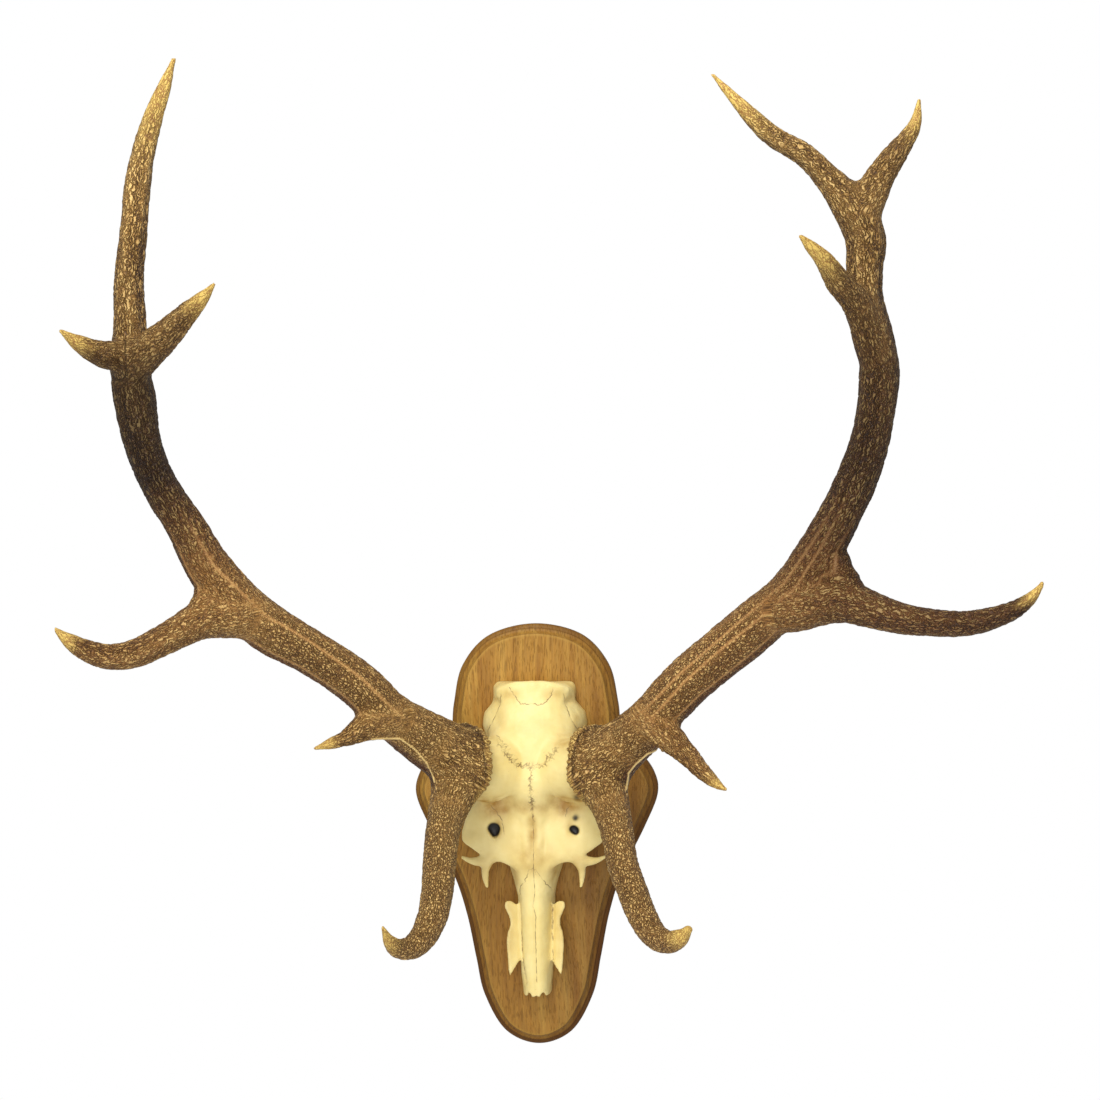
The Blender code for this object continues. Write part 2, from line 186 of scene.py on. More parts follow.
def routeTube(bm, route, sides=4, steps=8):
    curve = bpy.data.curves.new("route", "CURVE")
    curve.dimensions = "3D"
    curve.bevel_depth = mm
    curve.bevel_resolution = sides
    curve.resolution_u = steps
    curve.use_fill_caps = True
    spline = curve.splines.new("BEZIER")
    spline.bezier_points.add(len(route) - 1)
    spline.radius_interpolation = "CARDINAL"
    for point, (x, y, z, radius) in zip(spline.bezier_points, route):
        point.co = metres(x, y, z)
        point.radius = radius
        point.handle_left_type = "AUTO"
        point.handle_right_type = "AUTO"
    addMesh(bm, meshFromCurve("route", curve))
    bmesh.ops.remove_doubles(bm, verts=bm.verts, dist=joinWithin)


def loft(rings):
    bm = bmesh.new()
    rows = [[bm.verts.new(point) for point in ring] for ring in rings]
    for row, following in zip(rows, rows[1:]):
        for i in range(len(row)):
            bm.faces.new((row[i - 1], row[i], following[i], following[i - 1]))
    bm.faces.new(rows[0])
    bm.faces.new(reversed(rows[-1]))
    bmesh.ops.recalc_face_normals(bm, faces=bm.faces)
    return bm


def newMaterial(name):
    material = bpy.data.materials.new(name)
    material.use_nodes = True
    tree = material.node_tree
    return material, tree, tree.nodes["Principled BSDF"], addNode(tree, "TexCoord").outputs["Object"]


def setInputs(tree, node, inputs):
    for name, value in inputs.items():
        if isinstance(value, bpy.types.NodeSocket):
            tree.links.new(value, node.inputs[name])
        else:
            node.inputs[name].default_value = value


def addNode(tree, kind, inputs=None, **settings):
    node = tree.nodes.new("ShaderNode" + kind)
    for name, value in settings.items():
        setattr(node, name, value)
    setInputs(tree, node, inputs or {})
    return node


def attribute(tree, name, output="Fac"):
    return addNode(tree, "Attribute", attribute_name=name).outputs[output]


def stretched(tree, vector, scale):
    return addNode(tree, "Mapping", {"Vector": vector, "Scale": scale}).outputs["Vector"]


def noiseNode(tree, vector, scale, detail=2.0, roughness=0.5):
    wanted = {"Vector": vector, "Scale": scale, "Detail": detail, "Roughness": roughness}
    return addNode(tree, "TexNoise", wanted).outputs["Fac"]


def ramp(tree, value, stops):
    node = addNode(tree, "ValToRGB", {"Fac": value})
    bands = node.color_ramp.elements
    while len(bands) < len(stops):
        bands.new(0.5)
    for band, (place, colour) in zip(bands, stops):
        band.position = place
        band.color = (*colour, 1) if isinstance(colour, tuple) else (colour, colour, colour, 1)
    return node.outputs["Color"]


def mathNode(tree, operation, a, b=0.0, clamp=False):
    return addNode(tree, "Math", {0: a, 1: b}, operation=operation, use_clamp=clamp).outputs[0]


def times(tree, a, b, clamp=False):
    return mathNode(tree, "MULTIPLY", a, b, clamp)


def vectorMath(tree, operation, a, b):
    return addNode(tree, "VectorMath", {0: a, 1: b}, operation=operation).outputs[0]


def spread(tree, value, low=0.0, high=1.0, start=0.0, end=1.0):
    # the range from low to high becomes start to end, and stays there beyond it
    wanted = {"Value": value, "From Min": low, "From Max": high, "To Min": start, "To Max": end}
    return addNode(tree, "MapRange", wanted).outputs["Result"]


def mixColour(tree, share, a, b, blend="MIX"):
    a, b = ((*side, 1) if isinstance(side, tuple) else side for side in (a, b))
    return addNode(tree, "Mix", {0: share, 6: a, 7: b}, data_type="RGBA", blend_type=blend).outputs[2]


def bumpNode(tree, height, distance, strength=1.0, before=None):
    wanted = {"Height": height, "Distance": distance * mm, "Strength": strength}
    if before is not None:
        wanted["Normal"] = before
    return addNode(tree, "Bump", wanted).outputs["Normal"]


# sRGB numbers from 0 to 255, as a colour picker shows them
def paint(red, green, blue):
    def linear(part):
        part = part / 255
        return part / 12.92 if part <= 0.04045 else ((part + 0.055) / 1.055) ** 2.4
    return linear(red), linear(green), linear(blue)


board = {
    "height": 418,
    "thickness": 22,
    # half of the outline (x, z) from the top down
    "half": [
        (46, 198), (73, 168), (82, 130), (86, 100), (103, 81), (117, 61), (120.5, 39),
        (107, 6), (84, -40), (71, -80), (62, -124), (54, -160), (33, -196),
    ],
    "spanSteps": 12,
    # moulded edge (inset, height above the wall): back arris, round, step, cove, face arris
    "moulding": [
        (0.8, 0), (0.25, 0.3), (0, 1), (0, 5), (0, 9.5), (0.15, 11), (0.55, 12.2), (1.2, 13), (2.1, 13.7),
        (3.2, 14.2), (4.0, 14.4), (4.2, 14.7), (4.5, 16.0), (4.9, 16.3), (5.9, 16.5), (6.9, 17.0),
        (7.8, 17.9), (8.5, 19.0), (9.1, 20.3), (9.6, 21.3), (10.0, 21.8), (10.6, 22),
    ],
    "faceInset": [13, 18],
    # painted shade on the moulding: dark lines (inset, reach, share), dark bands (up to this inset, share),
    # and the arris with a painted highlight (inset, reach)
    "paintedShadeLines": [(4.4, 0.8, 1.0), (9.8, 0.7, 0.7)],
    "paintedShadeBands": [(3.5, 0.85), (9, 0.35)],
    "paintedHighlightLine": (10.8, 0.9),
    "sharpAngle": 38,
    # grain: how many to a metre across, through and along the board
    "bandScale": (95, 60, 5),
    "fibreScale": (750, 300, 42),
    "poreScale": (760, 300, 120),
    "grainStart": (0.02, 0, 0),
    "grainSway": 0.06,
    "streakShare": 0.8,
    "poreShare": 0.32,
    "paintedHighlightShare": 0.55,
    # darker to the right over this span, and below between these heights, in metres
    "asideSpan": (0.0, 0.1),
    "belowSpan": (0.12, -0.12),
    "shadows": (0.28, 0.14, 0.5),  # to the right, below, and where both meet
    "specular": 0.16,
    "light": paint(186, 144, 66),
    "middle": paint(164, 118, 46),
    "dark": paint(136, 90, 30),
    "pore": paint(66, 36, 10),
    # painted shade colour, for the moulding's dark lines and bands and for the board's shadows to the right
    # and below
    "edge": paint(74, 42, 13),
}


def smoothLoop(points, steps):
    found = []
    count = len(points)
    for i in range(count):
        a, b, c, d = (Vector(points[(i + k) % count]) for k in (-1, 0, 1, 2))
        bend = 2 * a - 5 * b + 4 * c - d
        twist = 3 * (b - c) + d - a
        for step in range(steps):
            t = step / steps
            found.append(b + 0.5 * ((c - a) * t + bend * t**2 + twist * t**3))
    return found


def makeBoard():
    half = [(0, board["height"] / 2), *board["half"], (0, -board["height"] / 2)]
    edge = smoothLoop(half + [(-x, z) for x, z in reversed(board["half"])], board["spanSteps"])
    outwards = []
    for i in range(len(edge)):
        along = edge[(i + 1) % len(edge)] - edge[i - 1]
        outwards.append(Vector((-along.y, along.x)).normalized())
    rings = []
    levels = board["moulding"] + [(inset, board["thickness"]) for inset in board["faceInset"]]
    for inset, height in levels:
        lift = metres(0, -height, 0)
        rings.append([metres(*(p - inset * n).to_3d().xzy) + lift for p, n in zip(edge, outwards)])
    bm = loft(rings)
    mesh = meshFrom(bm, "plaqueBoard")
    points = getPoints(mesh)
    insets = np.repeat([inset for inset, _ in levels], len(edge))
    # painted shade in the moulding's step, cove and outer round, and a painted highlight along the face arris
    shade = np.zeros(len(points))
    for inset, reach, share in board["paintedShadeLines"]:
        shade = np.maximum(shade, share * np.exp(-((insets - inset) / reach) ** 2))
    for inset, share in board["paintedShadeBands"]:
        shade = np.maximum(shade, np.where(insets < inset, share, 0))
    storeValue(mesh, "moulded", shade)
    inset, reach = board["paintedHighlightLine"]
    storeValue(mesh, "paintedHighlight", np.exp(-((insets - inset) / reach) ** 2))
    low, high = (np.array(corner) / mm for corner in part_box("plaque"))
    setPoints(mesh, np.clip(points, low, high))
    obj = newObject("plaqueBoard", mesh)
    mesh.shade_smooth()
    mesh.set_sharp_from_angle(angle=math.radians(board["sharpAngle"]))
    mesh.materials.append(waxedOak())
    return obj


def waxedOak():
    material, tree, shader, place = newMaterial("waxedOak")
    # slow bands of the grain, tall and narrow, bent a little
    wander = noiseNode(tree, stretched(tree, place, (5, 5, 3)), 1.0, 1.0)
    shift = times(tree, mathNode(tree, "SUBTRACT", wander, 0.5), board["grainSway"])
    offset = addNode(tree, "CombineXYZ", {"X": shift, "Y": shift}).outputs[0]
    grainPlace = vectorMath(tree, "ADD", vectorMath(tree, "ADD", place, board["grainStart"]), offset)
    bands = noiseNode(tree, stretched(tree, grainPlace, board["bandScale"]), 1.0, 4.0, 0.6)
    fibres = noiseNode(tree, stretched(tree, grainPlace, board["fibreScale"]), 1.0, 3.0, 0.6)
    colour = ramp(tree, bands, [(0.25, board["dark"]), (0.5, board["middle"]), (0.75, board["light"])])
    streaks = ramp(tree, fibres, [(0.3, 0.72), (0.7, 1.14)])
    colour = mixColour(tree, board["streakShare"], colour, streaks, "MULTIPLY")
    # short open pores along the grain
    poreNoise = noiseNode(tree, stretched(tree, grainPlace, board["poreScale"]), 1.0, 1.0, 0.4)
    pores = ramp(tree, poreNoise, [(0.33, 1.0), (0.43, 0.0)])
    colour = mixColour(tree, times(tree, pores, board["poreShare"]), colour, board["pore"])
    # the board is darker to the right and towards its point, and so is its moulding
    apart = addNode(tree, "SeparateXYZ", {0: place}).outputs
    aside = spread(tree, apart["X"], *board["asideSpan"])
    below = spread(tree, apart["Z"], *board["belowSpan"])
    # painted shade on the moulding, stronger towards the point where the moulding faces down
    moulded = times(tree, attribute(tree, "moulded"), spread(tree, below, start=0.6))
    colour = mixColour(tree, moulded, colour, board["edge"])
    # painted highlight along the face arris
    paintedHighlight = times(tree, attribute(tree, "paintedHighlight"), board["paintedHighlightShare"])
    colour = mixColour(tree, paintedHighlight, colour, board["light"])
    right, low, corner = board["shadows"]
    shadow = mathNode(tree, "ADD", times(tree, aside, right), times(tree, below, low))
    shadow = mathNode(tree, "ADD", shadow, times(tree, times(tree, aside, below), corner))
    colour = mixColour(tree, shadow, colour, board["edge"])
    normal = bumpNode(tree, fibres, 0.25, 0.5)
    normal = bumpNode(tree, mathNode(tree, "SUBTRACT", 1.0, pores), 0.35, 0.6, normal)
    setInputs(tree, shader, {
        "Base Color": colour, "Normal": normal, "Roughness": spread(tree, fibres, start=0.38, end=0.56),
        "Specular IOR Level": board["specular"],
    })
    return material


skull = {
    "back": 22.3,  # the saw cut, 0.3 mm off the board
    "pastSaw": 6,  # how far the raw shapes pass it
    "skin": 1.4,
    "fineSkin": 1.25,
    # sections (z, half width, height above the board, fullness)
    "sections": [
        (152, 37, 34, 3.2), (148, 40.5, 41, 3.0), (142, 41, 45, 2.6), (134, 40, 48, 2.3), (122, 50, 54, 2.3),
        (110, 52, 62, 2.3), (96, 47, 69, 2.3), (80, 43, 75, 2.4), (62, 39, 78, 2.5), (46, 35, 75, 2.5),
        (32, 30, 66, 2.4), (14, 27, 61, 2.3), (-4, 27, 60, 2.3), (-20, 29, 58, 2.4), (-32, 25, 54, 2.5),
        (-44, 21, 51, 2.6), (-58, 18, 48, 2.6), (-90, 17.5, 44, 2.6), (-120, 16.5, 38, 2.6),
        (-156, 13.5, 29, 2.6),
    ],
    "sectionSteps": 56,
    # orbit roofs, outwards (x, lower z, upper z, height of the top, thickness)
    "roof": [
        (14, -32, 56, 57, 12), (34, -22, 50, 58, 10), (48, -15, 46, 56, 9), (58, -9, 40, 53, 8),
        (65, -4, 25, 50, 7.5), (69.5, 0, 10, 48, 7),
    ],
    "roofSteps": 40,
    "roofRounding": (0.5, 0.7),
    "crest": [
        (-38, -50.3, 143, 4.2), (-24, -58.5, 150, 5), (0, -60, 152.5, 5), (24, -58.5, 150, 5),
        (38, -50.3, 143, 4.2),
    ],
    # where the skin is evened, on both sides (x, z, reach across, reach along)
    "melts": [(36, 52, 22, 26), (40, 90, 18, 18), (0, 138, 50, 16), (26, -26, 10, 12), (0, 150, 44, 9)],
    # splinters of the cheek bone under each orbit, right side
    "cheek": [
        [(34, -74, -12, 6), (46, -71, -18.5, 6), (58, -69, -20, 4), (71, -66, -16, 1.8)],
        [(41, -72, -15, 7), (46, -69, -26, 4.8), (47, -66, -36, 3.4), (45.5, -64, -47, 1.8)],
    ],
    # thin plates beside the nasal bones, flat outline (outwards, z)
    "plate": [
        (-3, -60), (3, -66), (9, -61), (15.5, -61), (17, -66), (11.5, -77), (11, -85), (14, -92),
        (15, -103), (14, -116), (12, -135), (1, -119), (-4, -118),
    ],
    "plateThickness": 3.2,
    "plateRoot": (14.5, -48),
    "plateFall": -24,
    # hollow under the nasal bones (z, half width, height above its floor)
    "noseHollow": [(-175, 8.4, 19.2), (-110, 10, 22.8), (-80, 10.5, 24), (-48, 7.9, 18)],
    "noseSteps": 24,
    "noseFloor": 4,
    "noseRounding": 0.7,
    "noseTip": -156,
    # notches in the nose tip (x, half width, depth), cut by pointed wedges
    "noseNotches": [(-6.5, 4.0, 7), (0, 1.4, 14), (6.5, 4.0, 7)],
    "wedge": {"height": 24, "below": 4, "flare": 1.6, "point": 0.3, "extra": 8, "through": 6},
    # openings through the orbit roofs, as outlines (x, z)
    "foramina": [
        [
            (-43.4, 15.6), (-40.3, 19), (-35, 19), (-31.2, 15.2), (-31.2, 10.2), (-36, 2.6), (-41.4, 7.4),
            (-44, 12),
        ],
        [(35.2, 13.6), (39.2, 16.4), (43.2, 14.6), (45.8, 10), (43.4, 5), (39.5, 7), (35, 10.2)],
        [(37, 22.6), (41.2, 26.8), (45.6, 22.2), (41.6, 18.2)],
    ],
    "holeFloor": -73,
    "holeDepth": 26,
    "pedicleRoot": (34, -78, 68),
    "pedicleRadii": (34, 26),
    # broad hollows and swellings of the front, on both sides (x, z, reach across, reach along, depth)
    "dents": [
        (30, 38, 13, 9, 3.0), (0, 6, 7, 24, 3.2), (26, 22, 5, 12, 1.4), (0, 92, 26, 18, -1.6),
        (35, 118, 6, 12, 1.2), (0, -30, 3.5, 12, 1.2), (37, 134, 5, 3.5, 3.2), (0, 60, 14, 12, -0.8),
        (20, 141, 9, 5, 1.2), (0, 151, 5, 5, -1.2), (43, 126, 4, 5, 1.0),
    ],
    # evening of the skin: gain, height above the wall where it starts, passes
    "melting": (1.6, (26, 34), 160),
    "frontFrom": (0.1, 0.5),  # how far a surface must face the viewer to be shaped
    # unevenness of the bone (height, size, where in the noise)
    "unevenness": [(0.45, 14, 0), (0.22, 5, 9), (0.08, 2.2, 4)],
    # groove between the nasal bones: depth, x, reach across, where it starts
    "nasalGroove": (0.9, 1, 2.2, (36, 50)),
    # clefts beside the nasal bones, where the plates start (x, z)
    "clefts": [
        [(-15.4, -54), (-15.2, -70), (-14.2, -112), (-12.4, -134), (-11.2, -142)],
        [(17.2, -54), (17.4, -70), (16.6, -112), (15.2, -134), (14.2, -142)],
    ],
    "cleft": (2.0, 1.8),  # depth and reach
    "seamCut": (0.22, 0.8),
    # seams between the bones (x, z): points, width of its zigzag, length of one zigzag
    "seams": [
        ([(-22, 148), (-18.3, 142), (-11.6, 133.6), (-5.7, 132.4), (1.1, 133.3), (7.9, 131.5), (13.8, 134.2),
          (18.2, 139), (20.7, 146)], 0.9, 3.4),
        ([(31, 141), (33.5, 129.6), (40.2, 114), (46.4, 102)], 0.4, 4.0),
        ([(-31, 141), (-33.5, 129.6), (-40.2, 114), (-46.4, 102)], 0.4, 4.0),
        ([(-31.8, 104), (-25.2, 95), (-18.5, 84), (-12.8, 77), (-0.3, 75), (10.3, 76), (20, 85),
          (25.8, 94)], 2.6, 3.2),
        ([(-33, 101), (-26, 92), (-19, 81.5), (-12.8, 75), (-0.3, 73), (10.8, 74), (21, 83),
          (27, 92)], 2.2, 2.6),
        ([(-0.2, 76), (0.6, 58), (0.4, 43), (0.8, 20)], 2.2, 2.6),
        ([(1.0, 70), (-0.6, 50), (1.2, 36), (0.4, 24)], 1.6, 2.2),
        ([(0.8, 20), (1.6, 4), (0.6, -28)], 0.35, 5.0),
        ([(-1, -27), (-3.6, -27.5), (-8.6, -40), (-14, -46), (-14.6, -54)], 0.6, 5.0),
        ([(1, -28), (3.6, -28.5), (8.9, -37), (16.5, -48), (18.4, -56)], 0.6, 5.0),
        ([(0.4, -28), (1.5, -50), (-0.6, -64), (1.9, -74), (1.2, -87), (1.2, -140)], 0.25, 6.0),
        ([(-16, -56), (-15.2, -70), (-14.2, -112), (-12.4, -134)], 0.2, 6.0),
        ([(17.6, -56), (17.4, -70), (16.6, -112), (15.2, -134)], 0.2, 6.0),
        ([(-38.6, 33), (-34, 28), (-29.5, 20.7), (-27.7, 8)], 0.6, 5.0),
        ([(36.6, 34), (34, 30), (32.7, 25)], 0.6, 5.0),
    ],
    # stains, partly real and partly painted shade in the valleys and hollows (x, z, reach across, reach
    # along, strength)
    "ochreStainsAndShades": [
        (-35, 34, 16, 10, 1.0), (33, 36, 17, 12, 1.0), (36, 97, 13, 9, 0.7), (-40, 100, 8, 14, 0.4),
        (0, 8, 5, 20, 0.9), (-30, 118, 6, 10, 0.3), (44, 112, 6, 14, 0.45), (0, 34, 28, 7, 0.6),
        (-26, -92, 7, 40, 0.3), (27, -92, 8, 40, 0.4),
        (-46, 40, 10, 10, 0.8), (47, 44, 10, 12, 0.9), (-34, 14, 6, 12, 0.4), (37, 16, 6, 12, 0.4),
        (0, 84, 30, 10, 0.12), (-58, 6, 9, 10, 0.15), (-42, -24, 16, 14, 0.4), (42, -24, 16, 14, 0.5),
        (-18, -30, 7, 16, 0.5), (20, -30, 7, 14, 0.5), (0, -16, 22, 16, 0.5), (-22, 141, 9, 5, 0.4),
        (22, 141, 9, 5, 0.4), (-38, 134, 6, 5, 0.5), (38, 134, 6, 5, 0.5), (0, 112, 24, 10, 0.14),
    ],
    # painted shade near the board: its strength, and the heights where it ends
    "nearBoardShade": (0.35, (24, 50)),  # stain there, and the heights where it ends
    # painted shadow in the crease (x, z, reach across, reach along, strength)
    "creaseShadow": (45, 45, 4, 3.5, 0.85),  # where the right brow tine meets the orbit
    "roughness": 0.52,
    "subsurface": (0.08, (0.004, 0.003, 0.0015)),
    "ivory": paint(230, 207, 132),
    "pale": paint(240, 221, 152),
    "ochre": paint(166, 118, 16),
    "seamBrown": paint(112, 86, 48),
    # near black, for the painted shade in the holes and the painted shadow in the crease
    "shadeBlack": paint(16, 9, 5),
}

burrs = {
    "centre": {"left": (-62, -117, 79), "right": (66, -117, 77)},
    "axis": (0.70, -0.70, 0.12),
    "seatDrop": 7,
    "seatGap": 0.3,
    "radius": 37.2,
    "disc": (33.5, 35.5),
    "height": 13,
    "knobs": 40,
    "knobRadius": 2.9,
    "knobShape": (1.2, 0.8, 1.8),
    "knobSway": 0.9,
    "knobRise": (1.6, 1.2),  # regular and wild
}


def burrAxis(side):
    x, y, z = burrs["axis"]
    return Vector((-x if side == "left" else x, y, z)).normalized()


def closeBehind(ring, halfWidth, z):
    for x in (-halfWidth, halfWidth):
        ring.append(metres(x, -skull["back"] + skull["pastSaw"], z))
    return ring


def skullSection(z, halfWidth, height, fullness):
    ring = []
    steps = skull["sectionSteps"]
    for i in range(steps + 1):
        angle = math.pi * i / steps
        across = math.copysign(abs(math.cos(angle)) ** (2 / fullness), math.cos(angle))
        up = math.sin(angle) ** (2 / fullness) if 0 < i < steps else 0
        ring.append(metres(halfWidth * across, -skull["back"] - height * up, z))
    return closeBehind(ring, halfWidth, z)


def noseSection(z, halfWidth, height):
    ring = []
    steps = skull["noseSteps"]
    for i in range(steps + 1):
        angle = math.pi * i / steps
        up = skull["noseFloor"] + height * abs(math.sin(angle)) ** skull["noseRounding"]
        ring.append(metres(halfWidth * math.cos(angle), -skull["back"] - up, z))
    return closeBehind(ring, halfWidth, z)


def roofSection(sign, x, low, high, top, thickness):
    ring = []
    middle, half = (low + high) / 2, (high - low) / 2
    centre = board["thickness"] + top - thickness / 2
    steps = skull["roofSteps"]
    lengthwise, upright = skull["roofRounding"]
    for i in range(steps):
        angle = 2 * math.pi * i / steps
        along = math.copysign(abs(math.cos(angle)) ** lengthwise, math.cos(angle))
        out = math.copysign(abs(math.sin(angle)) ** upright, math.sin(angle))
        ring.append(metres(sign * x, -centre - out * thickness / 2, middle + half * along))
    return ring


def flatPlate(outline, thickness):
    # a flat outline (x, z) as a plate of that thickness, standing across the view
    curve = bpy.data.curves.new("plate", "CURVE")
    curve.dimensions = "2D"
    curve.fill_mode = "BOTH"
    curve.extrude = thickness / 2 * mm
    spline = curve.splines.new("POLY")
    spline.points.add(len(outline) - 1)
    for point, (x, z) in zip(spline.points, outline):
        point.co = (x * mm, z * mm, 0, 1)
    spline.use_cyclic_u = True
    mesh = meshFromCurve("plate", curve)
    mesh.transform(Matrix.Rotation(math.radians(90), 4, "X"))
    return mesh


def makeSkull():
    bm = bmesh.new()
    addMesh(bm, meshFrom(loft([skullSection(*section) for section in skull["sections"]]), "case"))
    routeTube(bm, skull["crest"])
    for side, sign in (("left", -1), ("right", 1)):
        addMesh(bm, meshFrom(loft([roofSection(sign, *section) for section in skull["roof"]]), "roof"))
        x, y, z = skull["pedicleRoot"]
        rootRadius, topRadius = skull["pedicleRadii"]
        routeTube(bm, [(sign * x, y, z, rootRadius), (*burrs["centre"][side], topRadius)], 8)
        for route in skull["cheek"]:
            routeTube(bm, [(sign * px, py, pz, radius) for px, py, pz, radius in route])
        plate = flatPlate([(sign * x, z) for x, z in skull["plate"]], skull["plateThickness"])
        fall = Matrix.Rotation(sign * math.radians(skull["plateFall"]), 4, "Z")
        root = Matrix.Translation(metres(sign * skull["plateRoot"][0], skull["plateRoot"][1], 0))
        addMesh(bm, plate, root @ fall)
    bmesh.ops.remove_doubles(bm, verts=bm.verts, dist=joinWithin)
    bone = newObject("skullBone", meshFrom(bm, "skullBone"))
    skinOver(bone, skull["skin"], 0)

    hollow = loft([noseSection(*section) for section in skull["noseHollow"]])
    notches = bmesh.new()
    wedge = skull["wedge"]
    for x, halfWidth, depth in skull["noseNotches"]:
        bottom = skull["noseTip"] - wedge["below"] + depth / 2
        place = Matrix.Translation(metres(x, -skull["back"] - wedge["height"], bottom))
        bmesh.ops.create_cone(
            notches, cap_ends=True, segments=4, radius1=halfWidth * wedge["flare"] * mm,
            radius2=wedge["point"] * mm, depth=(depth + wedge["extra"]) * mm,
            matrix=place @ Matrix.Diagonal((1, wedge["through"], 1, 1)),
        )
    holes = bmesh.new()
    depth = skull["holeDepth"]
    place = Matrix.Translation(metres(0, skull["holeFloor"] - depth / 2, 0))
    for outline in skull["foramina"]:
        addMesh(holes, flatPlate(outline, depth), place)
    bmesh.ops.remove_doubles(holes, verts=holes.verts, dist=joinWithin)
    bmesh.ops.recalc_face_normals(holes, faces=holes.faces)
    shapes = (("noseHollow", hollow), ("noseNotches", notches), ("foramina", holes))
    cutters = [takeAway(bone, shape, name) for name, shape in shapes]
    skinOver(bone, skull["fineSkin"], 3)
    applyModifiers(bone)
    for cutter in cutters:
        bpy.data.objects.remove(cutter, do_unlink=True)
    shapeSkull(bone)
    for side in ("left", "right"):
        axis = burrAxis(side)
        seat = Vector(burrs["centre"][side]) - axis * (burrs["seatDrop"] + burrs["seatGap"])
        cutFlat(bone.data, seat, axis)
    cutFlat(bone.data, (0, -skull["back"], 0), (0, 1, 0))
    bone.data.shade_smooth()
    bone.data.materials.append(dryBone())
    return bone


def bothSides(spots):
    return [(sign * x, *rest) for x, *rest in spots for sign in ((-1, 1) if x else (1,))]


def hill(x, z, spot):
    px, pz, across, along = spot[:4]
    return np.exp(-((x - px) / across) ** 2 - ((z - pz) / along) ** 2)


def zigzag(points, width, length):
    # the seam line with its fine teeth, as segments about 1 mm long
    line = np.array(points, float)
    steps = np.hypot(*np.diff(line, axis=0).T)
    travel = np.concatenate([[0], np.cumsum(steps)])
    s = np.linspace(0, travel[-1], max(8, int(travel[-1] / 0.9)))
    x, z = np.interp(s, travel, line[:, 0]), np.interp(s, travel, line[:, 1])
    dx, dz = np.gradient(x), np.gradient(z)
    size = np.hypot(dx, dz)
    swing = noiseAt(np.c_[s / length * 1.7, s * 0 + points[0][0], s * 0 + points[0][1]]) * 2.0
    swing += 0.8 * noiseAt(np.c_[s / length * 4.1, s * 0 + 3, s * 0 + points[0][1]])
    return np.c_[x - dz / size * swing * width, z + dx / size * swing * width]


def seamDistance(x, z, line):
    best = np.full(len(x), 1e9)
    signed = np.full(len(x), 1e9)
    for (ax, az), (bx, bz) in zip(line, line[1:]):
        ux, uz = bx - ax, bz - az
        t = np.clip(((x - ax) * ux + (z - az) * uz) / (ux * ux + uz * uz), 0, 1)
        ox, oz = x - ax - t * ux, z - az - t * uz
        far = np.hypot(ox, oz)
        side = np.sign(ux * oz - uz * ox)
        closer = far < best
        best = np.where(closer, far, best)
        signed = np.where(closer, far * side, signed)
    return best, signed


def shapeSkull(bone):
    mesh = bone.data
    points = getPoints(mesh)
    x, y, z = points.T
    gain, heights, passes = skull["melting"]
    weight = np.max([hill(x, z, spot) for spot in bothSides(skull["melts"])], axis=0) * fade(-y, *heights)
    setPoints(mesh, melt(mesh, points, np.clip(gain * weight, 0, 1), passes))
    points, normals = getPoints(mesh), getNormals(mesh)
    x, y, z = points.T
    front = fade(-normals[:, 1], *skull["frontFrom"])
    push = np.zeros(len(points))
    for spot in bothSides(skull["dents"]):
        push -= spot[4] * hill(x, z, spot)
    depth, middle, reach, starts = skull["nasalGroove"]
    push -= depth * fade(-z, *starts) * np.exp(-((x - middle) / reach) ** 2)
    push *= front
    for height, size, start in skull["unevenness"]:
        push += height * noiseAt(points / size + start)
    depth, reach = skull["cleft"]
    for line in skull["clefts"]:
        push -= depth * np.exp(-(seamDistance(x, z, line)[0] / reach) ** 2) * front
    near, gap = np.full(len(points), 1e9), np.full(len(points), 50.0)
    for line, width, length in skull["seams"]:
        best, signed = seamDistance(x, z, zigzag(line, width, length))
        closer = best < near
        near, gap = np.where(closer, best, near), np.where(closer, signed, gap)
    depth, reach = skull["seamCut"]
    push -= depth * np.exp(-(near / reach) ** 2) * front
    points += normals * push[:, None]
    low, high = (np.array(corner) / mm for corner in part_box("skull"))
    setPoints(mesh, np.clip(points, low, high))
    # ochre spots, partly real stains and partly painted shade in the valleys and hollows
    ochreStainAndShade = np.zeros(len(points))
    for spot in skull["ochreStainsAndShades"]:
        ochreStainAndShade = np.maximum(ochreStainAndShade, spot[4] * hill(x, z, spot))
    ochreStainAndShade *= 0.9 + 0.5 * noiseAt(points / 9 + 3)
    # painted shade: the undersides and the parts close to the board are yellower
    strength, heights = skull["nearBoardShade"]
    ochreStainAndShade = np.maximum(ochreStainAndShade, strength * (1 - fade(-y, *heights)))
    holeShade = np.zeros(len(points))
    for outline in skull["foramina"]:
        px, pz = np.mean(outline, axis=0)
        holeShade = np.maximum(holeShade, fade(-np.hypot(x - px, z - pz), -9, -7.5))
    storeValue(mesh, "ochreStainAndShade", np.clip(ochreStainAndShade, 0, 1))
    # painted shade: only the walls and floor of a hole are dark, not the rim round it, and a painted shadow
    # darkens where the right brow tine meets the orbit
    deep = fade(y, skull["holeFloor"] - 4.5, skull["holeFloor"] - 2.5)
    inside = np.maximum(deep, 1 - fade(-normals[:, 1], 0.3, 0.6))
    spot = skull["creaseShadow"]
    storeValue(mesh, "holeShade", np.maximum(holeShade * inside, spot[4] * hill(x, z, spot)))
    storeValue(mesh, "seamGap", np.clip(gap, -3, 3))
    storeValue(mesh, "seamNear", fade(-near, -2.2, -1.2) * front)


